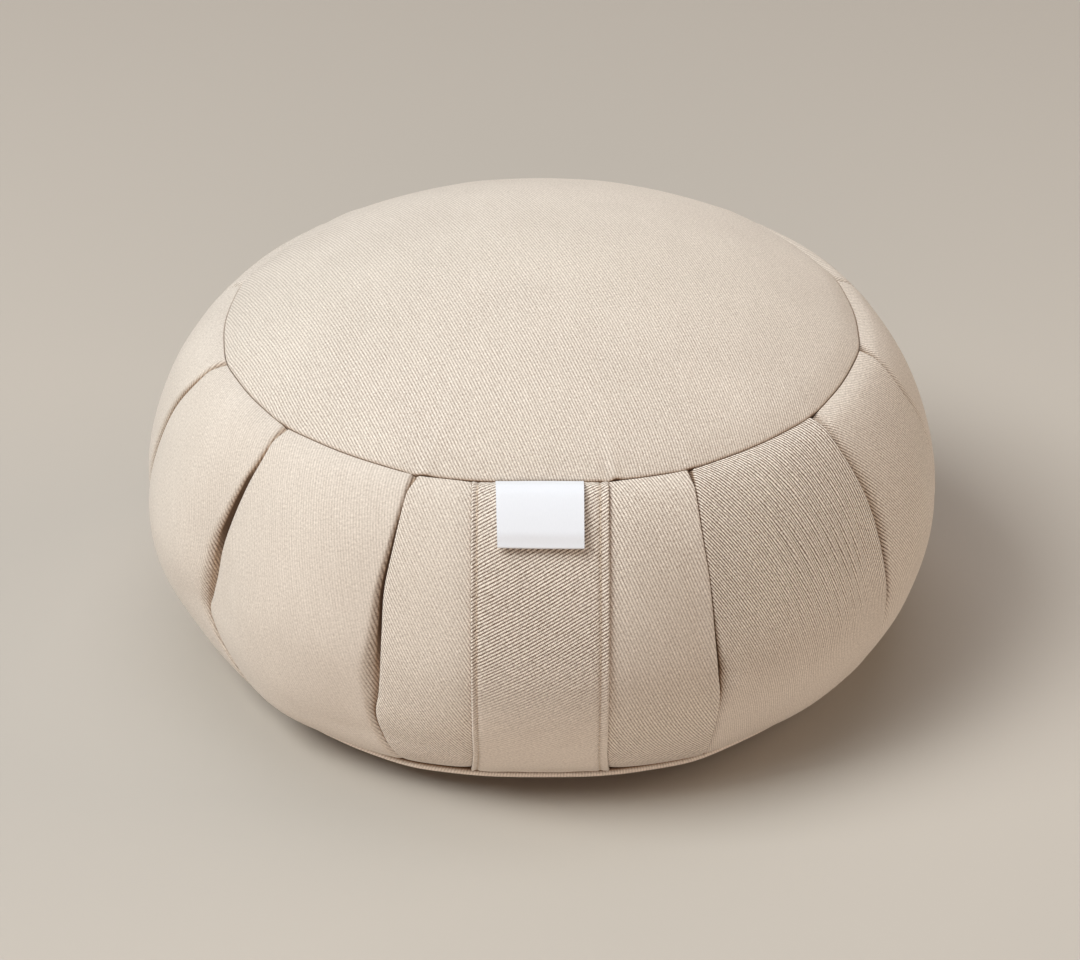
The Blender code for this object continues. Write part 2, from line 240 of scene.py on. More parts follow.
def hidden_pleat(top_deg: float, girth_deg: float, foot_deg: float) -> Pleat:
    """A pleat round the back, which the photograph doesn't show.

    Args:
        top_deg: The fold edge's angle at the top seam.
        girth_deg: Its angle at the girth.
        foot_deg: Its angle at the bottom seam.

    Returns:
        The pleat.
    """
    return Pleat(
        ((0, top_deg), (0.55, girth_deg), (1, foot_deg)),
        ((0, 0.2), (0.08, 0.45), (0.25, 0.8), (0.45, 1), (0.65, 0.9), (0.82, 0.6), (0.93, 0.4),
         (1, 0.2)),
        4.4, 9.0, 2.1, 0.2, ((0, 0.4), (0.5, 0.9), (1, 0.6)),
        ((0, 0.15), (0.1, 0.6), (0.9, 0.6), (1, 0.3)), 60.0,
    )


PLEATS: tuple[Pleat, ...] = (
    hidden_pleat(-165.0, -165.0, -165.0),
    hidden_pleat(-136.0, -137.0, -136.5),
    hidden_pleat(-106.0, -108.0, -107.0),
    Pleat(
        ((0, -75), (0.1, -76), (0.22, -79), (0.35, -81.6), (0.5, -83.6), (0.75, -84), (1, -82.5)),
        ((0, 0.3), (0.1, 0.5), (0.25, 0.9), (0.5, 1), (0.7, 0.9), (1, 0.3)),
        5.0, 8.0, 2.4, 0.35,
        ((0, 0.4), (0.3, 0.7), (0.5, 1), (1, 0.6)),
        ((0, 0.6), (1, 0.6)), 24.0,
    ),
    Pleat(
        ((0, -49), (0.1, -49), (0.2, -50.3), (0.31, -51.7), (0.41, -52.7), (0.5, -53),
         (0.57, -53.8), (0.63, -55), (0.69, -54.5), (0.75, -53.5), (0.85, -51), (0.93, -49.6),
         (1, -49)),
        ((0, 0.15), (0.1, 0.32), (0.2, 0.62), (0.3, 0.92), (0.42, 1), (0.5, 0.86), (0.57, 0.6),
         (0.63, 0.42), (0.75, 0.45), (0.86, 0.5), (1, 0.3)),
        7.5, 8.5, 4.6, 0.42,
        ((0, 0.3), (0.18, 0.4), (0.32, 0.62), (0.46, 1), (0.56, 1.1), (0.66, 0.7), (1, 0.6)),
        ((0, 0.85), (0.12, 0.95), (0.3, 1), (0.38, 0.95), (0.46, 0.6), (0.56, 0.4), (0.64, 0.6),
         (0.8, 0.8), (1, 0.7)), 29.0,
    ),
    Pleat(
        ((0, -21.3), (0.1, -21.3), (0.2, -21.6), (0.33, -22.2), (0.45, -22), (0.56, -22),
         (0.64, -22.4), (0.71, -23.1), (0.77, -23), (0.83, -22.6), (0.92, -21.4), (1, -20.4)),
        ((0, 0.25), (0.1, 0.42), (0.2, 0.7), (0.33, 1), (0.5, 1), (0.62, 0.82), (0.7, 0.6),
         (0.82, 0.45), (0.92, 0.36), (1, 0.2)),
        5.4, 8.5, 2.4, 0.42,
        ((0, 0.2), (0.15, 0.28), (0.3, 0.42), (0.45, 0.7), (0.56, 1), (0.61, 0.95), (0.69, 0.6),
         (0.78, 0.5), (1, 0.4)),
        ((0, 0.95), (0.3, 1), (0.45, 1), (0.52, 0.8), (0.58, 0.5), (0.68, 0.45), (0.74, 0.9),
         (0.85, 1), (1, 0.9)), 54.0,
    ),
    Pleat(
        ((0, 25.5), (0.06, 24.6), (0.15, 23.9), (0.3, 23.8), (0.5, 23.8), (0.57, 24.05),
         (0.63, 24.5), (0.75, 24.7), (0.9, 24.9), (1, 24.7)),
        ((0, 0.5), (0.3, 0.8), (0.5, 1), (0.56, 1.3), (0.61, 0.9), (0.67, 0.5), (0.8, 0.4),
         (1, 0.25)),
        2.2, 3.4, 1.5, 0.0,
        ((0, 0.6), (0.45, 0.8), (0.52, 1.3), (0.57, 2), (0.62, 1.7), (0.7, 1.2), (1, 1)),
        ((0, 0.9), (0.56, 1), (0.62, 0.8), (0.68, 0.5), (1, 0.5)), 42.0,
    ),
    Pleat(
        ((0, 53.8), (0.06, 53.2), (0.12, 53.1), (0.19, 53.8), (0.28, 54.6), (0.42, 55.1),
         (0.52, 55.4), (0.64, 56.1), (0.8, 56.6), (1, 56.5)),
        ((0, 0.3), (0.1, 0.36), (0.25, 0.5), (0.35, 0.66), (0.45, 1), (0.56, 0.95), (0.62, 0.4),
         (0.68, 0.12), (0.85, 0.05), (1, 0.1)),
        5.0, 13.0, 1.0, 0.0,
        ((0, 0.5), (0.2, 0.8), (0.38, 0.75), (0.48, 0.42), (0.6, 0.4), (0.75, 0.6), (1, 0.6)),
        ((0, 0.35), (0.3, 0.35), (0.42, 0.5), (0.48, 0.95), (0.62, 0.95), (0.7, 0.4), (1, 0.3)),
        29.0,
    ),
    Pleat(
        ((0, 80.2), (0.08, 78.9), (0.18, 79.3), (0.29, 82.2), (0.39, 84), (0.6, 84), (1, 83)),
        ((0, 0.8), (0.1, 0.8), (0.3, 0.55), (0.5, 0.5), (0.8, 0.4), (1, 0.2)),
        2.4, 9.0, 1.4, 0.0, ((0, 0.8), (1, 0.8)), ((0, 0.5), (1, 0.5)), 30.0,
    ),
    hidden_pleat(108.0, 107.5, 107.5),
    hidden_pleat(136.5, 136.5, 136.5),
    hidden_pleat(165.0, 165.0, 165.0),
)

# A pleat's cross-section, from the cloth beyond it to its lap. Each row has the share of
# the pleat's shoulder that lies before the point, its place in mm past the fold edge
# where the pleat is tucked and where it is pressed flat at a seam, its height as a share
# of the pleat's depth, how fully it goes down with a sunk fold edge, and the shade
# painted into the cloth there, darkest in the pleat's tuck.
FOLD_SECTION: Table = (
    (1.25, 0.0, 0.0, 0.0, 0.0, 0.0),
    (1.0, 0.0, 0.0, -0.035, 0.0, 0.08),
    (0.82, 0.0, -0.2, -0.13, 0.0, 0.38),
    (0.62, 0.0, -0.3, -0.33, 0.0, 0.76),
    (0.42, 0.0, -0.3, -0.56, 0.0, 0.97),
    (0.22, 0.0, -0.3, -0.80, 0.0, 1.0),
    (0.05, 0.3, -0.1, -0.95, 0.0, 1.0),
    (0.0, 3.0, 0.2, -1.02, 0.15, 1.0),
    (0.0, 2.8, 0.4, -0.78, 0.5, 1.0),
    (0.0, 1.2, 0.6, -0.50, 0.9, 1.0),
    (0.0, -0.1, 0.8, -0.26, 1.0, 0.95),
    (0.0, -0.7, 1.1, -0.06, 1.0, 0.5),
    (0.0, -0.4, 1.5, 0.09, 0.93, 0.0),
    (0.0, 0.7, 2.3, 0.17, 0.78, 0.0),
    (0.0, 2.6, 4.0, 0.14, 0.52, 0.0),
    (0.0, 5.6, 6.5, 0.06, 0.2, 0.0),
    (0.0, 10.0, 10.0, 0.0, 0.0, 0.0),
)
FOLD_ROOT = 7

# Places where the filling stands out or the cloth is drawn in: angle in degrees, share
# down, width in degrees, reach down, and how far out in mm.
BULGES: Table = (
    (-113.0, 0.09, 18.0, 0.10, -1.0),
    (-65.0, 0.77, 9.0, 0.16, -2.6),
    (-44.0, 0.88, 9.0, 0.09, 2.2),
    (-27.0, 0.93, 10.0, 0.08, 1.3),
    (0.0, 0.97, 13.0, 0.06, 1.3),
    (0.0, 0.945, 10.5, 0.035, -1.9),
    (27.6, 0.62, 1.3, 0.035, 0.9),
    (25.0, 0.94, 10.0, 0.08, 1.2),
    (46.0, 0.90, 12.0, 0.09, 1.5),
    (70.0, 0.68, 8.0, 0.12, -1.0),
    (108.0, 0.20, 22.0, 0.24, -0.8),
)


@dataclass(frozen=True)
class CushionForm:
    """The filled form of the cushion, which every piece of cloth lies on."""

    girth_radius: float = 0.165
    girth_height: float = 0.0644
    girth_handles: tuple[float, float] = (0.24, 0.40)
    top_seam_radius: float = 0.1292
    top_seam_height: float = 0.1339
    top_seam_slope: float = 15.7 * DEG
    top_handle: float = 0.61
    bottom_seam_radius: float = 0.1370
    bottom_seam_height: float = 0.0080
    bottom_seam_slope: float = 33.9 * DEG
    bottom_handle: float = 0.90
    crown_height: float = 0.1715
    crown_fullness: float = 0.85
    base_radius: float = 0.112
    seam_dip: float = 0.9 * MM
    seam_dip_reach: float = 7.5 * MM
    seam_roll: float = 0.55 * MM
    pull_width: float = 7.0 * DEG
    puff: float = 0.4 * MM
    puff_fullness: float = 0.8
    corner: float = 0.9 * MM
    corner_width: float = 5.0 * DEG
    front_flat: float = 2.8 * MM
    front_flat_width: float = 10.0 * DEG
    foot_spread: float = 8.2 * MM
    foot_lift: float = 4.3 * MM
    foot_width: float = 36.0 * DEG
    foot_start: float = 0.8

    @cached_property
    def outline(self) -> dict[str, Array]:
        """Follow the band's outline from seam to seam.

        Returns:
            Its points, normals and shares by name, and its length.
        """
        top = Vector((self.top_seam_radius, self.top_seam_height))
        girth = Vector((self.girth_radius, self.girth_height))
        bottom = Vector((self.bottom_seam_radius, self.bottom_seam_height))
        above, below = girth - top, girth - bottom
        top_way = Vector((math.cos(self.top_seam_slope), -math.sin(self.top_seam_slope)))
        foot_way = Vector((math.cos(self.bottom_seam_slope), math.sin(self.bottom_seam_slope)))
        upper = interpolate_bezier(
            top, top + top_way * self.top_handle * above.x,
            girth + Vector((0.0, -self.girth_handles[0] * above.y)), girth, 80,
        )
        lower = interpolate_bezier(
            girth, girth + Vector((0.0, -self.girth_handles[1] * below.y)),
            bottom + foot_way * self.bottom_handle * below.x, bottom, 80,
        )
        points = np.array([tuple(point) for point in upper + lower[1:]])
        length = lengths(points)
        along = np.gradient(points, length, axis=0)
        along /= np.linalg.norm(along, axis=1)[:, None]
        return {
            "share": length / length[-1], "radius": points[:, 0], "height": points[:, 1],
            "normal_r": -along[:, 1], "normal_z": along[:, 0], "length": length[-1],
        }

    @property
    def length(self) -> float:
        """The length of the band's outline from seam to seam."""
        return float(self.outline["length"])

    def read(self, name: str, down: Array) -> Array:
        """Read one column of the outline at a share down the band."""
        return np.interp(down, self.outline["share"], self.outline[name])

    def from_seam(self, down: Array) -> Array:
        """How far shares down the band are from the nearer seam."""
        return np.minimum(down, 1.0 - down) * self.length

    def pleat_bells(self, angle: Array, down: Array, width: float) -> list[Array]:
        """How near places on the band are to each pleat, from 0 to 1."""
        return [bell(wrapped(angle - pleat.angle(down)), width) for pleat in PLEATS]

    def rows(
        self, near_mm: Sequence[float], pitch: float, start: float = 0.0, end: float = 1.0
    ) -> Array:
        """Shares down the band for rows of points that lie closer at both ends.

        Args:
            near_mm: The first rows' distances from an end.
            pitch: The distance between the other rows.
            start: The share down at which the rows start.
            end: The share down at which they end.

        Returns:
            The rising shares.
        """
        near = np.array(near_mm) * MM / self.length
        margin = near[-1] + pitch / self.length
        count = int((end - start - 2.0 * margin) * self.length / pitch)
        middle = np.linspace(start + margin, end - margin, count)
        return np.concatenate((start + near, middle, end - near[::-1]))

    def band(self, angle: Array, down: Array, out: Array = 0.0) -> Array:
        """Points of the band as its panels, seams and filling shape it.

        Args:
            angle: Angles about Z.
            down: Shares of the way down the band.
            out: How far each point is moved out along the outline's normal.

        Returns:
            The points, with their coordinates in the last axis.
        """
        angle, down, out = np.broadcast_arrays(*map(np.asarray, (angle, down, out)))
        bulge = sum(
            out_mm * MM * bell(wrapped(angle - middle * DEG), width * DEG) * bell(down - at, reach)
            for middle, at, width, reach, out_mm in BULGES
        )
        fullness = np.sin(HALF_TURN * np.clip(down, 0.0, 1.0)) ** self.puff_fullness
        pulls = self.pleat_bells(angle, down, self.pull_width)
        pull = sum(pleat.pull_mm * MM * near for pleat, near in zip(PLEATS, pulls))
        seam = self.from_seam(down)
        roll = 1.0 - np.sqrt(1.0 - fading(seam, self.seam_roll) ** 2)
        dip = self.seam_dip * fading(seam, self.seam_dip_reach) + self.seam_roll * roll
        out = out + bulge + (self.puff - pull) * fullness - dip

        corners = self.corner * sum(self.pleat_bells(angle, down, self.corner_width))
        flat = self.front_flat * bell(angle, self.front_flat_width)
        at_seams = np.cos(HALF_TURN * down) ** 2
        foot = np.clip((down - self.foot_start) / (1.0 - self.foot_start), 0.0, 1.0)
        foot = foot * bell(angle, self.foot_width)
        radius = self.read("radius", down) + out * self.read("normal_r", down)
        height = self.read("height", down) + out * self.read("normal_z", down)
        return polar(
            angle, radius + (corners - flat) * at_seams + self.foot_spread * foot,
            height + self.foot_lift * foot,
        )

    def crown(self, share: Array) -> Array:
        """The crown's height at a share of the way from its middle to the top seam."""
        rise = self.crown_height - self.top_seam_height
        return self.top_seam_height + rise * (1.0 - share ** 2) ** self.crown_fullness


# ---- finishes

class Signal:
    """An output in a material, which plain arithmetic joins to others by Math nodes."""

    def __init__(self, nodes: "Finish", socket: bpy.types.NodeSocket) -> None:
        """Keep the output and the material that it is in."""
        self.nodes, self.socket = nodes, socket

    def math(self, operation: str, *others: object) -> "Signal":
        """The result of a Math node on this value and others."""
        inputs = dict(enumerate((self, *others)))
        return self.nodes.add("ShaderNodeMath", 0, inputs, operation=operation)

    def __add__(self, other: object) -> "Signal":
        """The sum."""
        return self.math("ADD", other)

    def __sub__(self, other: object) -> "Signal":
        """The difference."""
        return self.math("SUBTRACT", other)

    def __mul__(self, other: object) -> "Signal":
        """The product."""
        return self.math("MULTIPLY", other)


@dataclass(frozen=True)
class Finish:
    """A material: a shader, and the nodes that its signals come from."""

    name: str

    @cached_property
    def material(self) -> bpy.types.Material:
        """Start the material, with a shader and its output.

        Returns:
            The material.
        """
        made = bpy.data.materials.new(self.name)
        made.use_nodes = True
        nodes = made.node_tree.nodes
        nodes.clear()
        shader = nodes.new("ShaderNodeBsdfPrincipled")
        output = nodes.new("ShaderNodeOutputMaterial")
        made.node_tree.links.new(shader.outputs[0], output.inputs["Surface"])
        return made

    def set(self, socket: bpy.types.NodeSocket, value: object) -> None:
        """Link a signal to a socket, or give the socket a number or a colour.

        Args:
            socket: The socket.
            value: The signal, number or colour.
        """
        if isinstance(value, Signal):
            self.material.node_tree.links.new(value.socket, socket)
        else:
            socket.default_value = (*value, 1.0) if isinstance(value, tuple) else value

    def add(
        self, kind: str, output: object, inputs: dict[object, object] | None = None,
        **settings: object,
    ) -> Signal:
        """Add a node.

        Args:
            kind: The node's type.
            output: The name or number of the output that is wanted.
            inputs: Values or signals for inputs, by name or number.
            settings: The node's own settings, by name.

        Returns:
            The output.
        """
        made = self.material.node_tree.nodes.new(kind)
        for name, value in settings.items():
            setattr(made, name, value)
        for name, value in (inputs or {}).items():
            self.set(made.inputs[name], value)
        return Signal(self, made.outputs[output])

    def mix(self, share: object, first: object, second: object, blend: str = "MIX") -> Signal:
        """A colour between two, by a share."""
        inputs = {0: share, 6: first, 7: second}
        return self.add("ShaderNodeMix", 2, inputs, data_type="RGBA", blend_type=blend)

    def combine(self, *values: object) -> Signal:
        """A vector of up to three values."""
        return self.add("ShaderNodeCombineXYZ", 0, dict(enumerate(values)))

    def noise(self, vector: Signal, scale: float, detail: float = 2.0) -> Signal:
        """A noise value between 0 and 1 with its middle near 0.5."""
        inputs = {"Vector": vector, "Scale": scale, "Detail": detail}
        return self.add("ShaderNodeTexNoise", "Fac", inputs)

    def attribute(self, name: str) -> Signal:
        """A number kept at each point of the mesh."""
        return self.add("ShaderNodeAttribute", "Fac", attribute_name=name)

    def parts(self, vector: Signal) -> list[Signal]:
        """The first two coordinates of a vector."""
        return [self.add("ShaderNodeSeparateXYZ", part, {0: vector}) for part in (0, 1)]

    def cloth_place(self) -> list[Signal]:
        """The place on the cloth, across and along its wales."""
        return self.parts(self.add("ShaderNodeUVMap", 0, uv_map="cloth"))

    def object_place(self) -> Signal:
        """The place in the object's own coordinates."""
        return self.add("ShaderNodeTexCoord", "Object")

    def bump(self, height: Signal, distance: float, strength: float = 1.0) -> Signal:
        """A bumped normal."""
        inputs = {"Height": height, "Distance": distance, "Strength": strength}
        return self.add("ShaderNodeBump", 0, inputs)

    def shade(self, **sockets: object) -> bpy.types.Material:
        """Set the shader's sockets, given with underscores for spaces."""
        for name, value in sockets.items():
            self.set(self.material.node_tree.nodes[0].inputs[name.replace("_", " ")], value)
        return self.material


@dataclass(frozen=True)
class TwillFinish(Finish):
    """Undyed cotton twill: rounded diagonal wales of short floats, softly napped."""

    name: str = "cotton_twill_weave"
    wale: Triple = (0.90, 0.83, 0.74)
    # the grooves between the wales: the twill's own pattern, with painted shade in them
    groove_and_shade: Triple = (0.13, 0.08, 0.05)
    # painted shade: a dark brown, and a warm half tone on the way to it, mixed into the cloth where
    # the shade attribute is high
    painted_shading: Triple = (0.07, 0.035, 0.015)
    painted_half_shade: Triple = (0.58, 0.46, 0.36)
    middle_share: float = 0.60
    # painted light: how much paler the cloth is painted where the shade attribute is below 0
    painted_light_gain: float = 0.4
    slub: float = 0.12
    mottle: float = 0.10
    grain: float = 0.9
    wander: float = 0.7
    groove_power: float = 1.7
    float_pitch: float = 0.62
    float_step: float = 0.38
    float_depth: float = 0.2
    yarn_spread: float = 0.3
    relief: float = 0.16 * MM

    def build(self) -> bpy.types.Material:
        """Make the material. It reads the cloth UV map, in wales, and two attributes.

        Returns:
            The material.
        """
        across, along = self.cloth_place()
        weave, painted_shading = self.attribute("weave"), self.attribute("painted_shading")
        height, fibre = self.weave(across, along)
        slub = self.noise(self.combine(across * 0.9, along * 0.07), 1.0)
        mottle = self.noise(self.object_place(), 30.0, 4.0)
        # painted shade: the weave attribute sets how dark the grooves are painted, higher where the
        # light grazes the wales
        share = (height - self.middle_share) * weave + self.middle_share
        # painted light: below 0 the shade attribute paints the cloth paler
        share += painted_shading.math("MINIMUM", 0.0) * -self.painted_light_gain
        share += (fibre - 0.5) * ((weave * 0.8 + 0.5) * self.grain)
        share += (slub - 0.5) * self.slub + (mottle - 0.5) * self.mottle
        # painted shade: the warm half tone and then the dark brown come in as the shade attribute
        # rises
        half = (painted_shading * 2.0).math("MINIMUM", 1.0)
        full = (painted_shading * 2.0 - 1.0).math("MAXIMUM", 0.0)
        colour = self.mix(share, self.groove_and_shade, self.wale)
        half = self.mix(half, (1.0, 1.0, 1.0), self.painted_half_shade)
        colour = self.mix(full, self.mix(1.0, colour, half, "MULTIPLY"), self.painted_shading)
        return self.shade(
            Base_Color=colour, Roughness=0.9, Specular_IOR_Level=0.2, Sheen_Weight=0.12,
            Sheen_Roughness=0.6, Normal=self.bump(fibre * 0.3 + height * weave, self.relief),
        )

    def weave(self, across: Signal, along: Signal) -> tuple[Signal, Signal]:
        """The wales' height and the loose fibres on them.

        Args:
            across: The place across the wales, in wales.
            along: The place along the wales, in wales.

        Returns:
            The height between 0 and 1, and a fine noise round 0.5.
        """
        drift = self.noise(self.combine(across * 0.13, along * 0.05), 1.0)
        phase = across + (drift - 0.5) * self.wander
        groove_and_shade = (phase * TURN).math("COSINE") * -0.5 + 0.5
        ridge = groove_and_shade.math("POWER", self.groove_power) * -1.0 + 1.0
        row = (phase + 0.5).math("FLOOR")
        bead = along * (1.0 / self.float_pitch) + row * self.float_step
        cell = self.combine(row, bead.math("FLOOR"))
        yarn = self.add("ShaderNodeTexWhiteNoise", "Value", {"Vector": cell}, noise_dimensions="2D")
        bead = (bead * TURN).math("COSINE") * self.float_depth + 0.93
        height = ridge * (bead * (yarn * self.yarn_spread + 0.76))
        return height, self.noise(self.combine(across, along * 0.8), 1.5, 3.0)


@dataclass(frozen=True)
class TapeFinish(Finish):
    """White satin label tape: fine threads across a soft shine."""

    name: str = "label_tape_satin"
    face: Triple = (0.73, 0.755, 0.80)
    thread: Triple = (0.64, 0.67, 0.72)
    relief: float = 0.03 * MM

    def build(self) -> bpy.types.Material:
        """Make the material. It reads the cloth UV map, in threads.

        Returns:
            The material.
        """
        across, along = self.cloth_place()
        warp, weft = ((place * TURN).math("COSINE") for place in (across, along))
        fibre = self.noise(self.combine(across, along * 0.2), 1.3)
        share = (fibre - 0.5) * 0.5 + (warp * weft * 0.25 + 0.5)
        return self.shade(
            Base_Color=self.mix(share, self.thread, self.face), Roughness=0.5,
            Normal=self.bump(share, self.relief), Specular_IOR_Level=0.4, Sheen_Weight=0.1,
        )


@dataclass(frozen=True)
class ThreadFinish(Finish):
    """The sewing thread, a two-ply cotton a little darker than the cloth."""

    name: str = "sewing_thread"
    light: Triple = (0.74, 0.64, 0.52)
    dark: Triple = (0.42, 0.34, 0.25)
    relief: float = 0.05 * MM

    def build(self) -> bpy.types.Material:
        """Make the material. It reads the cloth UV map, whose length is in turns.

        Returns:
            The material.
        """
        across, along = self.cloth_place()
        share = ((across + along) * TURN).math("SINE") * 0.5 + 0.5
        colour = self.mix(share, self.dark, self.light)
        normal = self.bump(share, self.relief, 0.8)
        return self.shade(Base_Color=colour, Roughness=0.7, Normal=normal)


@dataclass(frozen=True)
class FloorFinish(Finish):
    """A plain pale floor, a little darker towards the back."""

    name: str = "studio_floor"
    # painted shade: the floor is painted darker towards the back, where less light falls on it
    near: Triple = (0.46, 0.425, 0.38)
    far: Triple = (0.385, 0.35, 0.31)
    near_y: float = -0.1
    far_y: float = 0.75

    def build(self) -> bpy.types.Material:
        """Make the material. It reads the floor's own coordinates.

        Returns:
            The material.
        """
        place = self.object_place()
        back = (self.parts(place)[1] - self.near_y) * (1.0 / (self.far_y - self.near_y))
        back = back.math("MAXIMUM", 0.0).math("MINIMUM", 1.0)
        share = (self.noise(place, 40.0, 3.0) - 0.5) * 0.02 + back
        colour = self.mix(share, self.near, self.far)
        return self.shade(Base_Color=colour, Roughness=0.95, Specular_IOR_Level=0.1)


# ---- meshes

class ClothMesh:
    """Points, faces, corner places on the cloth, and numbers kept at the points."""

    def __init__(self, name: str) -> None:
        """Start an empty mesh.

        Args:
            name: The name of its piece.
        """
        self.name = name
        self.points: list[Array] = []
        self.numbers: dict[str, list[Array]] = {"weave": [], "painted_shading": []}
        self.faces: list[list[int]] = []
        self.corners: list[Array] = []

    def add_points(self, points: Array, weave: Array = 0.5, painted_shading: Array = 0.0) -> Array:
        """Add points with their numbers.

        Args:
            points: The places, with coordinates in the last axis.
            weave: How plainly the weave shows at each point.
            painted_shading: How much shade is painted at each point; below 0 it is painted light,
                which makes it paler.

        Returns:
            The points' indices, in the shape of the points.
        """
        shape, start = points.shape[:-1], sum(map(len, self.points))
        self.points.append(points.reshape(-1, 3))
        for kept, values in zip(self.numbers.values(), (weave, painted_shading)):
            kept.append(np.broadcast_to(values, shape).reshape(-1))
        return start + np.arange(math.prod(shape)).reshape(shape)

    def add_grid(
        self, indices: Array, place: Callable[[Array, Array], Array] | None = None
    ) -> None:
        """Add the quads between closed rows of points.

        Args:
            indices: The points' indices, in rows.
            place: Gives the cloth place of corners from their rows and columns;
                without it they are all at zero.
        """
        rows, columns = indices.shape
        row, column = np.indices((rows - 1, columns)).reshape(2, -1, 1)
        row, column = row + (0, 1, 1, 0), column + (0, 0, 1, 1)
        self.faces += indices[row, column % columns].tolist()
        spots = place(row, column) if place else np.zeros((row.size, 2))
        self.corners.append(spots.reshape(-1, 2))

    def add_lace(self, *rings: Array) -> None:
        """Fill between two closed rings of points, however many each has.

        Args:
            rings: The indices of each ring's points.
        """
        points, ordered, ends = np.concatenate(self.points), [], []
        for ring in rings:
            angles = np.arctan2(points[ring, 0], -points[ring, 1])
            order = np.argsort(angles, kind="stable")
            ordered.append(ring[order])
            ends.append(np.append(angles[order][1:], angles[order][0] + TURN))
        first = np.argsort(np.concatenate(ends), kind="stable") < len(rings[0])
        steps = [np.cumsum(moving) - moving for moving in (first, ~first)]
        here, there = (ring[step % len(ring)] for ring, step in zip(ordered, steps))
        after = [ring[(step + 1) % len(ring)] for ring, step in zip(ordered, steps)]
        self.faces += np.stack((here, there, np.where(first, *after)), axis=-1).tolist()
        self.corners.append(np.zeros((3 * len(first), 2)))

    def add_cap(self, ring: Array, spots: Array = 0.0) -> None:
        """Close a ring of points with one face, whose corners lie at spots on the cloth."""
        self.faces.append(ring.tolist())
        self.corners.append(np.zeros((len(ring), 2)) + spots)

    def add_tube(self, indices: Array, place: Callable[[Array, Array], Array]) -> None:
        """Add closed rows of points as a strip with both ends closed.

        Args:
            indices: The points' indices, in rows.
            place: Gives the cloth place of corners from their rows and columns.
        """
        self.add_grid(indices, place)
        self.add_cap(indices[0])
        self.add_cap(indices[-1])

    def close(self, edge: Array, rings: Array, painted_shading: float) -> None:
        """Close the space inside an edge with plain cloth.

        Args:
            edge: The indices of the edge's points.
            rings: The places of the cloth's points, in rings from the edge inwards.
            painted_shading: The shade painted on the cloth.
        """
        inner = self.add_points(rings, 0.2, painted_shading)
        self.add_lace(edge, inner[0])
        self.add_grid(inner)
        self.add_cap(inner[-1])

    def build(self, finish: bpy.types.Material, sharp_deg: float = 60.0) -> Piece:
        """Make the object, with its faces turned outwards.

        Args:
            finish: The material.
            sharp_deg: Edges sharper than this stay crisp.

        Returns:
            The new object, linked to the scene.
        """
        mesh = bpy.data.meshes.new(self.name)
        mesh.from_pydata(np.concatenate(self.points).tolist(), [], self.faces)
        layer = mesh.uv_layers.new(name="cloth")
        layer.data.foreach_set("uv", np.concatenate(self.corners).astype(np.float32).ravel())
        for name, values in self.numbers.items():
            attribute = mesh.attributes.new(name, "FLOAT", "POINT")
            attribute.data.foreach_set("value", np.concatenate(values).astype(np.float32))
        bm = bmesh.new()
        bm.from_mesh(mesh)
        bmesh.ops.recalc_face_normals(bm, faces=bm.faces)
        bm.to_mesh(mesh)
        bm.free()
        mesh.shade_smooth()
        mesh.set_sharp_from_angle(angle=sharp_deg * DEG)
        mesh.materials.append(finish)
        made = bpy.data.objects.new(self.name, mesh)
        bpy.context.scene.collection.objects.link(made)
        return made


def places_of(mesh: bpy.types.Mesh) -> Array:
    """The places of a mesh's vertices."""
    places = np.empty(len(mesh.vertices) * 3)
    mesh.vertices.foreach_get("co", places)
    return places.reshape(-1, 3)


@dataclass(frozen=True)
class Wales:
    """How the twill lies on a piece: the wales' direction and pitch.

    direction_deg is the wales' angle from across the piece towards its foot, bow_per_mm
    how that direction turns towards the piece's foot, and fan_per_mm how it turns
    across the piece.
    """

    direction_deg: float
    bow_per_mm: float = 0.0
    fan_per_mm: float = 0.0
    pitch: float = 1.14 * MM

    def place(self, across: Array, down: Array) -> Array:
        """The place on the cloth.

        Args:
            across: Lengths across the piece.
            down: Lengths down the piece.

        Returns:
            The places across and along the wales, in wales.
        """
        sine, cosine = math.sin(self.direction_deg * DEG), math.cos(self.direction_deg * DEG)
        lower = np.maximum(down, 0.0)
        bow = (0.5 * self.bow_per_mm * lower ** 2 + self.fan_per_mm * across * down) / MM
        over_wales = -across * sine + down * cosine + bow
        return np.stack((over_wales, across * cosine + down * sine), axis=-1) / self.pitch


def tell(piece: Piece) -> None:
    """Report a finished piece and its size."""
    faces = sum(len(polygon.vertices) - 2 for polygon in piece.data.polygons)
    LOG.info("%s: %d points, %d triangles", piece.name, len(piece.data.vertices), faces)


# ---- the filling

CLOTH_SETTINGS: dict[str, object] = {
    "quality": 6, "mass": 0.3, "tension_stiffness": 25.0, "compression_stiffness": 25.0,
    "shear_stiffness": 8.0, "bending_stiffness": 0.6, "use_pressure": True,
    "uniform_pressure_force": 4.0, "pin_stiffness": 1.0,
}


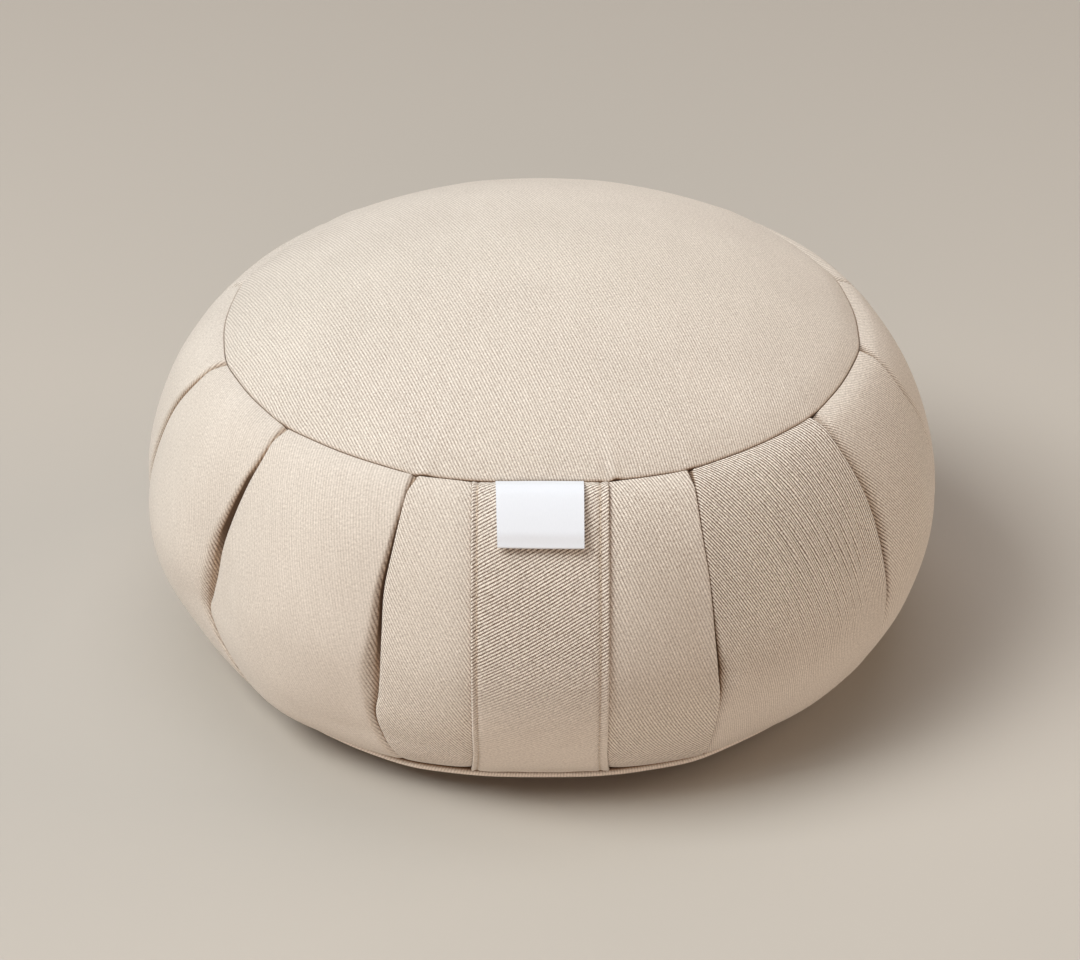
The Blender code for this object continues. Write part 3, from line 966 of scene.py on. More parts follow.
@dataclass
class Filling:
    """The cushion under pressure: a coarse body whose cloth swells between its seams.

    The body is held at both seams, along the pleats and behind the placket. What the
    cloth does between them is read back as a movement for each place on the band.
    """

    form: CushionForm
    columns: int = 216
    rows: int = 30
    frames: int = 20
    most: float = 3.0 * MM
    pleat_hold: float = 3.2 * DEG
    placket_hold: float = 11.0 * DEG
    placket_fade: float = 2.5 * DEG
    seam_hold: float = 0.05
    smoothing: int = 8
    movement: Array | None = None

    @cached_property
    def places(self) -> list[Array]:
        """The angles and the shares down of the coarse band's points."""
        return np.meshgrid(round_angles(self.columns), np.linspace(0.0, 1.0, self.rows + 1))

    @cached_property
    def hold(self) -> Array:
        """Find how firmly each place is held by stitching.

        Returns:
            Numbers from 0 to 1, in rows.
        """
        angle, down = self.places
        near = sum(self.form.pleat_bells(angle, down, self.pleat_hold))
        placket = ease((self.placket_hold - np.abs(angle)) / self.placket_fade)
        seam = 1.0 - ease(np.minimum(down, 1.0 - down) / self.seam_hold)
        return np.clip(np.maximum.reduce((near, placket, seam)), 0.0, 1.0)

    def swell(self) -> None:
        """Run the cloth simulation and keep the movement of each place."""
        points = self.form.band(*self.places)
        mesh = ClothMesh("filling_under_pressure")
        band = mesh.add_points(points)
        mesh.add_grid(band)
        shares = np.linspace(0.85, 0.15, 5)[:, None, None]
        caps = []
        for ring, height in ((points[0], self.form.crown_height), (points[-1], 0.0)):
            rings = ring[None] * shares
            rings[..., 2] = height + (ring[None, :, 2] - height) * shares[..., 0] ** 2
            caps.append(mesh.add_points(rings))
        mesh.add_grid(np.vstack((caps[0][::-1], band[:1])))
        mesh.add_grid(np.vstack((band[-1:], caps[1])))
        mesh.add_cap(caps[0][-1])
        mesh.add_cap(caps[1][-1])
        finish = bpy.data.materials.new("filling")
        body = mesh.build(finish)
        group = body.vertex_groups.new(name="held")
        for index, weight in zip(band.ravel().tolist(), self.hold.ravel().tolist()):
            group.add([index], weight, "REPLACE")
        group.add(np.concatenate(caps).ravel().tolist(), 1.0, "REPLACE")
        self.simulate(body, group.name)
        movement = places_of(body.data)[band] - points
        length = np.linalg.norm(movement, axis=-1, keepdims=True)
        movement *= np.minimum(1.0, self.most / np.maximum(length, 1e-9))
        self.movement = self.settled(movement)
        LOG.info("filling: the cloth moved up to %.1f mm", float(length.max()) / MM)
        bpy.data.meshes.remove(body.data)
        bpy.data.materials.remove(finish)

    def settled(self, movement: Array) -> Array:
        """The movement without its small ripples and without its mean swelling.

        Args:
            movement: The movement of each place on the coarse band.

        Returns:
            The broad movement, which leaves the cushion's outline where it was.
        """
        for _ in range(self.smoothing):
            sides = np.roll(movement, 1, axis=1) + np.roll(movement, -1, axis=1)
            movement = 0.5 * movement + 0.25 * sides
            inner = 0.5 * movement[1:-1] + 0.25 * (movement[:-2] + movement[2:])
            movement = np.concatenate((movement[:1], inner, movement[-1:]))
        angle, down = self.places
        free = 1.0 - self.hold
        normal = polar(angle, self.form.read("normal_r", down), self.form.read("normal_z", down))
        out = (movement * normal).sum(axis=-1)
        mean = (out * free).sum(axis=1) / np.maximum(free.sum(axis=1), 1e-9)
        return movement * free[..., None] - (mean[:, None] * free)[..., None] * normal

    def simulate(self, body: Piece, held: str) -> None:
        """Let the pressure swell the body, and apply the result to its mesh.

        Args:
            body: The coarse body.
            held: The name of the vertex group that holds it.
        """
        cloth = body.modifiers.new("pressure", "CLOTH")
        for name, value in CLOTH_SETTINGS.items():
            setattr(cloth.settings, name, value)
        cloth.settings.vertex_group_mass = held
        cloth.settings.effector_weights.gravity = 0.0
        scene = bpy.context.scene
        for step in range(1, self.frames + 1):
            scene.frame_set(step)
        bpy.ops.object.select_all(action="DESELECT")
        bpy.context.view_layer.objects.active = body
        body.select_set(True)
        bpy.ops.object.modifier_apply(modifier=cloth.name)
        scene.frame_set(1)

    def at(self, angle: Array, down: Array) -> Array:
        """Read the movement between the coarse band's points.

        Args:
            angle: Angles about Z.
            down: Shares of the way down the band.

        Returns:
            The movement there, or none where nothing was simulated.
        """
        angle, down = np.broadcast_arrays(angle, down)
        if self.movement is None:
            return np.zeros(angle.shape + (3,))
        column = (wrapped(angle) + HALF_TURN) / TURN * self.columns
        row = np.clip(down, 0.0, 1.0) * self.rows
        left = np.floor(column).astype(int)
        above = np.minimum(np.floor(row).astype(int), self.rows - 1)
        over, under = (column - left)[..., None], (row - above)[..., None]
        left, right = left % self.columns, (left + 1) % self.columns
        upper, lower = (
            self.movement[line, left] * (1 - over) + self.movement[line, right] * over
            for line in (above, above + 1)
        )
        return upper * (1 - under) + lower * under

    def surface(self, angle: Array, down: Array, out: Array = 0.0) -> Array:
        """Points of the swollen band, moved out along its outline's normal."""
        return self.form.band(angle, down, out) + self.at(angle, down)

    def strip_surface(self, across: Array, down: Array, out: Array) -> Array:
        """Points over the swollen band, from lengths across its front."""
        return self.surface(np.arcsin(across / self.form.read("radius", down)), down, out)


# ---- the pleated body

@dataclass(frozen=True)
class Panel:
    """The cloth between two pleats: its wales, and how plainly they show."""

    wales: Wales
    weave: Rows


# How plainly the weave shows on each panel is partly painted shade: the twill's grooves are painted
# darker where the light grazes its wales.
SIDE_WEAVE: Rows = ((0, 0.34), (0.5, 0.3), (1, 0.24))
FAINT_WEAVE: Rows = ((0, 0.16), (0.5, 0.14), (1, 0.14))
SIDE = Panel(Wales(62.0), SIDE_WEAVE)
PANELS: tuple[Panel, ...] = (
    SIDE, SIDE, Panel(Wales(64.0), FAINT_WEAVE), Panel(Wales(66.0), FAINT_WEAVE),
    Panel(Wales(70.0), ((0, 0.18), (0.2, 0.16), (0.4, 0.12), (1, 0.1))),
    Panel(Wales(59.0), ((0, 0.36), (0.4, 0.34), (0.6, 0.46), (0.75, 0.66), (1, 0.62))),
    Panel(Wales(69.5, 0.005), (
        (0, 0.6), (0.2, 0.52), (0.42, 0.36), (0.6, 0.44), (0.75, 0.7), (1, 0.66),
    )),
    Panel(Wales(71.0, 0.0, -0.003, 0.97 * MM), (
        (0, 1.1), (0.25, 1.05), (0.42, 0.85), (0.56, 0.5), (0.7, 0.3), (1, 0.24),
    )),
    Panel(Wales(56.0), ((0, 0.45), (0.3, 0.55), (0.5, 0.45), (0.7, 0.2), (1, 0.16))),
    Panel(Wales(58.0), SIDE_WEAVE), SIDE, SIDE, SIDE,
)


@dataclass(frozen=True)
class Ripples:
    """Slack folds in one panel, which hang beside the pleat at its far side."""

    pleat: Pleat = PLEATS[7]
    from_deg: float = 26.0
    to_deg: float = 55.0
    spacing_mm: float = 4.6
    height: float = 0.42 * MM
    column_pitch: float = 0.85 * MM
    down: Rows = (
        (0, 0), (0.05, 0.25), (0.15, 0.7), (0.3, 1), (0.45, 0.9), (0.56, 0.35), (0.66, 0), (1, 0),
    )
    over: Rows = ((-80, 0), (-68, 0.1), (-54, 0.6), (-36, 1), (-14, 0.8), (-5, 0.2), (0, 0))

    def share(self, angle: Array, down: Array, radius: Array) -> Array:
        """How far the cloth stands out, between -1 and 1.

        Args:
            angle: The points' angles, in rows.
            down: The shares down the band of the rows, as a column.
            radius: The band's radius at each row.

        Returns:
            A number for each point, in rows.
        """
        over_mm = wrapped(angle - self.pleat.angle(down)) * radius[:, None] / MM
        share = table(self.down, down) * table(self.over, over_mm) * (over_mm < 0.0)
        uneven = 1.1 * waves(over_mm, 90.0 * down, 41.0)
        share = share * (0.75 + 0.35 * waves(over_mm, 120.0 * down, 29.0))
        return share * np.sin(TURN * over_mm / self.spacing_mm + uneven)


@dataclass
class PleatedBody:
    """The stuffed body in its pleated side band.

    It is closed under the top panel by rings at cap_shares of the seam's radius, a
    cap_drop below the crown, and over the base panel by foot_rows: shares of the base's
    radius, and heights in mm.
    """

    filling: Filling
    placket_left: float
    placket_right: float
    bed_depth: float
    fold_columns: int = 41
    column_pitch: float = 1.7 * MM
    row_pitch: float = 1.55 * MM
    seam_rows_mm: tuple[float, ...] = (0.0, 0.06, 0.16, 0.3, 0.45, 0.65, 1.0, 1.6, 2.5, 3.8, 5.2)
    bed_edge_mm: tuple[float, ...] = (-9.0, -6.6, -4.6, -3.1, -1.9, -1.0, -0.4, 0.2, 0.8, 1.5)
    bed_edge_share: tuple[float, ...] = (0.0, 0.04, 0.12, 0.22, 0.33, 0.42, 0.5, 0.66, 0.86, 1.0)
    bed_columns: int = 18
    tuck_reach: float = 0.07
    # line_from and line_over: where the painted shade line past a fold edge starts and over how
    # much it darkens
    line_from: float = 0.72
    line_over: float = 0.26
    groove_mm: tuple[float, float] = (0.4, 1.7)
    uneven: float = 0.22 * MM
    uneven_pitch_mm: float = 61.0
    cap_columns: int = 120
    wall: float = 1.6 * MM
    cap_shares: tuple[float, ...] = (0.93, 0.86, 0.72, 0.5, 0.25, 0.08)
    cap_drop: float = 4.0 * MM
    foot_inset: float = 0.965
    foot_rise: float = 0.8 * MM
    foot_rows: Table = ((1.06, 3.6), (0.95, 2.8), (0.5, 2.6), (0.1, 2.6))
    ripples: Ripples = Ripples()

    def fold(self, pleat: Pleat, down: Array) -> tuple[Array, ...]:
        """The columns through one pleat, in rising angle.

        Args:
            pleat: The pleat.
            down: The shares down the band of the rows.

        Returns:
            Angles, heights and painted shades, a row of columns for each place down.
        """
        shoulder, tucked, flat, height, sunk, shade = np.array(FOLD_SECTION).T[:, :, None]
        opening = table(pleat.opening, down)
        tuck = ease(np.minimum(down, 1.0 - down) / self.tuck_reach)
        tightness = np.clip(pleat.depth_mm / 3.5, 0.55, 1.0)
        shoulder = shoulder * (pleat.shoulder_mm * table(pleat.spread, down))
        along = flat + (tucked * tightness - flat) * tuck - shoulder
        rise = (height - pleat.edge_sunk * sunk) * (pleat.depth_mm * opening)
        controls = np.arange(len(FOLD_SECTION))
        at = np.linspace(0.0, controls[-1], self.fold_columns)
        along, rise = (hermite(controls, rows, at).T * MM for rows in (along, rise))
        shade = np.clip(hermite(controls, shade, at).T, 0.0, 1.0)
        # painted shade: a soft gradient over the cloth beyond the pleat, a dark line where one
        # looks past the fold edge into the tuck, and the fold's underside painted dark
        hidden = np.degrees(np.arctan2(-rise, np.maximum(-along, 1e-6))) / pleat.line_deg
        dark = table(pleat.dark, down)[:, None]
        line = dark * ease((hidden - self.line_from) / self.line_over)
        soft = 0.5 * np.clip(hidden, 0.0, 1.0) ** 1.2
        beyond = (at < FOLD_ROOT) & (along < 0.0)
        shade = np.where(beyond, np.maximum(soft, line), shade * np.maximum(dark, 0.25))
        shade = shade * np.clip(opening * 1.8, 0.45, 1.0)[:, None]
        radius = self.filling.form.read("radius", down)[:, None]
        angle = pleat.angle(down)[:, None] + pleat.towards_placket * along / radius
        step = int(pleat.towards_placket)
        return angle[:, ::step], rise[:, ::step], shade[:, ::step]

    def bed(self, down: Array) -> tuple[Array, ...]:
        """The shallow bed that the placket lies in.

        Args:
            down: The shares down the band of the rows.

        Returns:
            Angles, heights and painted shades, as fold gives them: the bed is painted dark under
            the placket.
        """
        edge, share = np.array(self.bed_edge_mm) * MM, np.array(self.bed_edge_share)
        left, right = self.placket_left + edge, (self.placket_right - edge)[::-1]
        inner = np.linspace(left[-1], right[0], self.bed_columns)[1:-1]
        share = np.concatenate((share, np.ones(len(inner)), share[::-1]))
        radius = self.filling.form.read("radius", down)[:, None]
        angle = np.arcsin(np.concatenate((left, inner, right)) / radius)
        rows = (-self.bed_depth * share, ease((share - 0.45) / 0.4))
        return angle, *(np.broadcast_to(row, angle.shape) for row in rows)

    def columns(self, down: Array) -> tuple[Array, ...]:
        """Every column round the band, in rising angle.

        Args:
            down: The shares down the band of the rows.

        Returns:
            Angles, heights and painted shades in rows, and each column's panel.
        """
        runs = [self.fold(pleat, down) for pleat in PLEATS]
        front = sum(pleat.towards_placket > 0.0 for pleat in PLEATS)
        runs.insert(front, self.bed(down))
        root = round(FOLD_ROOT / (len(FOLD_SECTION) - 1) * (self.fold_columns - 1))
        parts: list[tuple[Array, ...]] = []
        panel: list[int] = []
        for number, run in enumerate(runs):
            width = run[0].shape[1]
            before = root if number < front else width - 1 - root
            if number == front:
                before = width // 2
            gap = (runs[(number + 1) % len(runs)][0][:, 0] - run[0][:, -1]) % TURN
            middle_deg = math.degrees(wrapped(run[0][0, -1] + 0.5 * gap[0]))
            rippled = self.ripples.from_deg < middle_deg < self.ripples.to_deg
            pitch = self.ripples.column_pitch if rippled else self.column_pitch
            between = max(int(gap.max() * self.filling.form.girth_radius / pitch), 1)
            share = np.arange(1, between + 1) / (between + 1)
            angle = run[0][:, -1:] + gap[:, None] * share
            parts += [run, (angle, np.zeros_like(angle), np.zeros_like(angle))]
            panel += [number - 1] * before + [number] * (width - before + between)
        return *(np.concatenate(rows, axis=1) for rows in zip(*parts)), np.array(panel) % len(runs)

    @cached_property
    def panel_middles(self) -> Array:
        """Find the middle of each panel.

        Returns:
            The middles' angles.
        """
        edges = [float(pleat.angle(0.5)) for pleat in PLEATS]
        edges.insert(sum(edge < 0.0 for edge in edges), 0.0)
        edges.append(edges[0] + TURN)
        return 0.5 * (np.array(edges[:-1]) + np.array(edges[1:]))

    def build(self, finish: bpy.types.Material) -> Piece:
        """Model the body, closed under both panels.

        Args:
            finish: The twill.

        Returns:
            The piece that stands for the frame's filled body.
        """
        form = self.filling.form
        down = form.rows(self.seam_rows_mm, self.row_pitch)
        angle, out, shade, panel_of_face = self.columns(down)
        rows, radius = down[:, None], form.read("radius", down)
        across_mm = angle * form.girth_radius / MM
        uneven = self.uneven * waves(across_mm, rows * form.length / MM, self.uneven_pitch_mm)
        ripple = self.ripples.share(angle, rows, radius)
        uneven = uneven * np.sin(HALF_TURN * rows) + self.ripples.height * ripple
        points = self.filling.surface(angle, rows, out + uneven)
        # painted shade: the weave shows more in the pleats' dips, where the light grazes the wales,
        # and less where the ripples stand out
        weave = np.array([table(panel.weave, down) for panel in PANELS])[panel_of_face].T
        weave = weave * (1.0 - 0.35 * ripple)
        weave = weave + 0.45 * np.clip(-out / (1.5 * MM), 0.0, 1.0) * (shade < 0.9)
        # painted shade: the cloth is painted darker right by both seams, less at the top on the
        # left where the light reaches the seam, and the pleats' painted shade is added; towards the
        # front of the foot the cloth is painted paler, as painted light
        groove_and_shade = fading(form.from_seam(rows), np.where(rows < 0.5, *self.groove_mm) * MM)
        groove_and_shade = groove_and_shade * np.where(rows < 0.5, 0.75 * seam_shade(angle), 1.0)
        painted_shading = np.clip(np.maximum(0.95 * shade, groove_and_shade), 0.0, 1.0)
        painted_shading = painted_shading + (1.0 - painted_shading) ** 2 * painted_foot_light(angle, rows)

        def place(row: Array, column: Array) -> Array:
            """The places of faces' corners on the cloth of their panels.

            Args:
                row: The corners' rows, four for each face.
                column: Their columns.

            Returns:
                The places, in each panel's own wales.
            """
            count = angle.shape[1]
            at = angle[row, column % count] + TURN * (column >= count)
            number = np.repeat(panel_of_face[column[:, :1]], 4, axis=1)
            middle = self.panel_middles[number]
            middle = middle + TURN * np.round((at[:, :1] - middle) / TURN)
            across = (at - middle) * radius[row]
            along = down[row] * form.length - 0.5 * form.length
            spots = np.empty(at.shape + (2,))
            for index, panel in enumerate(PANELS):
                chosen = number == index
                spots[chosen] = panel.wales.place(across[chosen], along[chosen])
            return spots

        mesh = ClothMesh("cushion_body")
        band = mesh.add_points(points, weave, painted_shading)
        mesh.add_grid(band, place)
        # painted shade: the wall under the top seam and the cloth that closes the body are painted
        # dark
        wall = mesh.add_points(points[0] - np.array((0.0, 0.0, self.wall)), 0.2, 1.0)
        mesh.add_grid(np.vstack((wall, band[0])))
        turn = round_angles(self.cap_columns)
        shares = np.array(self.cap_shares)[:, None]
        heights = form.crown(shares) - self.cap_drop
        mesh.close(wall, polar(turn, form.top_seam_radius * shares, heights), 0.5)
        inset = (self.foot_inset, self.foot_inset, 1.0)
        rim = form.band(turn, 1.0) * inset + (0.0, 0.0, self.foot_rise)
        shares, heights = np.array(self.foot_rows).T[:, :, None]
        flat = polar(turn, form.base_radius * shares, heights * MM)
        mesh.close(band[-1], np.concatenate((rim[None], flat)), 1.0)
        return mesh.build(finish)


# ---- the round panels

# The panels' rims, from the seam's edge: mm outwards, mm upwards, and the shade painted
# into the cloth there; below 0 it is painted light, which makes the base's lip paler.
RIMS: dict[Seam, Table] = {
    Seam.TOP: ((-0.42, -1.3, 1.0), (-0.34, -0.6, 0.9), (-0.24, -0.12, 0.5), (-0.2, 0.12, 0.15)),
    Seam.BOTTOM: (
        (-1.5, 0.45, 1.0), (-0.7, 0.35, 1.0), (0.1, 0.15, 1.0), (0.8, -0.2, 0.9),
        (1.35, -0.75, 0.1), (1.6, -1.4, -0.7), (1.5, -2.1, -0.9), (1.1, -2.8, -0.6),
        (0.3, -3.5, 0.35),
    ),
}

# Small radial creases in the top panel, drawn up by what is sewn under its rim: angle in
# degrees, and width, reach and height in mm.
PUCKERS: Table = (
    (12.6, 1.8, 12.0, 0.95), (-19.5, 3.2, 16.0, 0.6), (26.0, 3.0, 10.0, 0.3),
    (-50.0, 3.4, 12.0, 0.35), (54.0, 3.2, 9.0, 0.25), (-77.0, 3.2, 9.0, 0.3),
    (82.0, 3.4, 9.0, 0.3), (-107.0, 3.2, 10.0, 0.35), (109.0, 3.0, 10.0, 0.35),
    (-137.0, 3.4, 10.0, 0.35), (138.0, 3.2, 10.0, 0.35), (-166.0, 3.2, 10.0, 0.3),
    (167.0, 3.4, 10.0, 0.3),
)


@dataclass
class RoundPanel:
    """A round panel of cloth, sewn to the band along one seam.

    The panel starts at the middle of its seam, where its rim turns in, and is modelled
    in rings whose distances from the middle of the cloth give its weave.
    """

    form: CushionForm
    name: str
    seam: Seam
    wales: Wales
    weave: Callable[[Array, Array], Array]
    thickness: float = 1.6 * MM
    columns: int = 640
    ring_pitch: float = 1.9 * MM
    near_rim_mm: tuple[float, ...] = (0.4, 0.65, 1.0, 1.6, 2.5, 3.8)
    middle: float = 9.0 * MM
    base_rings: int = 22
    rim_handle_mm: tuple[float, float] = (-2.2, -2.0)
    flat_handle: float = 14.0 * MM
    flat_from: float = 4.0 * MM
    uneven: float = 0.28 * MM
    uneven_pitch_mm: float = 88.0
    uneven_radius: float = 0.118
    inner_step: int = 4
    inner_steps: tuple[float, ...] = (0.0, 0.04, 0.12, 0.3, 0.5, 0.75, 1.0)
    inner_inset: float = 1.2 * MM

    @cached_property
    def angle(self) -> Array:
        """The angle of each column."""
        return round_angles(self.columns)

    @cached_property
    def edge(self) -> Array:
        """Follow the band's edge at this panel's seam.

        Returns:
            The edge's radius and height at each column.
        """
        edge = self.form.band(self.angle, self.seam.value)
        edge = np.stack((np.hypot(edge[:, 0], edge[:, 1]), edge[:, 2]), axis=-1)
        normal = [self.form.read(name, self.seam.value) for name in ("normal_r", "normal_z")]
        return edge + np.array(normal) * self.form.seam_roll

    @cached_property
    def rings(self) -> Array:
        """Follow the panel's mean outline from its rim to its middle.

        Returns:
            Rows of radius, height, painted shade and the share of the seam's line followed.
        """
        mean_radius, mean_height = self.edge.mean(axis=0)
        rim = np.array([
            (mean_radius + out_mm * MM, mean_height + up_mm * MM, painted_shading, 1.0)
            for out_mm, up_mm, painted_shading in RIMS[self.seam]
        ])
        if self.seam is Seam.TOP:
            near = np.array(self.near_rim_mm) * MM
            count = int((mean_radius - near[-1] - self.middle) / self.ring_pitch)
            inner = np.linspace(near[-1] + self.ring_pitch, mean_radius - self.middle, count)
            back = np.concatenate((near, inner))
            share = 1.0 - back / self.form.top_seam_radius
            dip = self.form.seam_dip * fading(back, self.form.seam_dip_reach)
            # painted shade: the crown is painted a little darker right by its rim
            height, painted_shading = self.form.crown(share) - dip, 0.25 * fading(back, 0.8 * MM)
            rest = np.stack((mean_radius - back, height, painted_shading, share ** 4), axis=-1)
        else:
            start, flat = Vector(rim[-1, :2]), Vector((self.form.base_radius, 0.0))
            path = interpolate_bezier(
                start, start + Vector(self.rim_handle_mm) * MM,
                flat + Vector((self.flat_handle, 0.0)), flat, self.base_rings,
            )[1:]
            inner = np.linspace(flat.x - self.flat_from, self.middle, self.base_rings)
            rest = np.array(
                [(point.x, point.y, 0.1, max(point.y / start.y, 0.0)) for point in path]
                + [(radius, 0.0, 0.0, 0.0) for radius in inner]
            )
        return np.concatenate((rim, rest))

    @cached_property
    def cloth(self) -> Array:
        """Each ring's distance from the middle, along the cloth."""
        return self.rings[-1, 0] + lengths(self.rings[::-1, :2])[::-1]

    @cached_property
    def outer(self) -> Array:
        """Shape the panel's outer face.

        Returns:
            Its points, in rings.
        """
        radius, height, _, follow = self.rings.T[:, :, None]
        aside = self.edge - self.edge.mean(axis=0)
        radius, height = radius + follow * aside[:, 0], height + follow * aside[:, 1]
        if self.seam is Seam.TOP:
            height = height + self.relief(self.angle, radius)
        return polar(self.angle, radius, height)

    def relief(self, angle: Array, radius: Array) -> Array:
        """Puckers at the seam and a gentle unevenness over the crown.

        Args:
            angle: The columns' angles.
            radius: The points' distances from the middle.

        Returns:
            How far each point stands up.
        """
        x_mm, y_mm = radius * np.sin(angle) / MM, -radius * np.cos(angle) / MM
        height = self.uneven * waves(x_mm, y_mm, self.uneven_pitch_mm)
        height = height * ease(1.25 - radius / self.uneven_radius)
        from_rim = np.clip((self.form.top_seam_radius - radius) / MM, 0.0, None)
        for at_deg, width_mm, reach_mm, height_mm in PUCKERS:
            over_mm = wrapped(angle - at_deg * DEG) * radius / MM
            valley = 0.8 * bell(over_mm + 1.6 * width_mm, width_mm)
            fade = np.exp(-from_rim / reach_mm)
            height = height + height_mm * MM * fade * (bell(over_mm, width_mm) - valley)
        return height

    @cached_property
    def inner(self) -> Array:
        """Shape the panel's inner face, in fewer rings and columns.

        Returns:
            Its points, in rings.
        """
        rim, last = len(RIMS[self.seam]), len(self.outer) - 1
        chosen = [rim + round((last - rim) * step) for step in self.inner_steps]
        inner = self.outer[chosen][:, ::self.inner_step].copy()
        inner[..., 2] += self.thickness if self.seam is Seam.BOTTOM else -self.thickness
        inner[..., :2] *= 1.0 - self.inner_inset / self.edge[:, 0].mean()
        return inner

    def build(self, finish: bpy.types.Material) -> Piece:
        """Model the panel.

        Args:
            finish: The twill.

        Returns:
            The piece, a closed sheet of the cloth's thickness.
        """
        # painted shade: the rims are painted dark in the seam, the top rim less on the left where
        # the light reaches it, and the inner face is painted dark
        painted_shading = self.rings[:, 2:3]
        if self.seam is Seam.TOP:
            painted_shading = painted_shading * seam_shade(self.angle)
        mesh = ClothMesh(self.name)
        weave = self.weave(self.outer[..., 0], self.outer[..., 1])
        face = mesh.add_points(self.outer, weave, painted_shading)
        way = np.array((np.sin(self.angle), np.cos(self.angle)))
        spots = self.wales.place(*(self.cloth[:, None] * way[:, None]))
        mesh.add_grid(face, lambda row, column: spots[row, column % self.columns])
        mesh.add_cap(face[-1], spots[-1])
        mesh.close(face[0], self.inner, 0.6)
        return mesh.build(finish)


# How plainly the weave shows on the round panels is partly painted shade too.
def crown_weave(x: Array, y: Array) -> Array:
    """How plainly the weave shows on the top panel: most near the front."""
    return 0.46 - 0.2 * ease((y + 0.12) / 0.2)


def base_weave(x: Array, y: Array) -> Array:
    """How plainly the weave shows on the base panel: most where its rim shows."""
    return 0.4 - 0.18 * ease((np.hypot(x, y) - 0.125) / 0.008)


# ---- the front strips

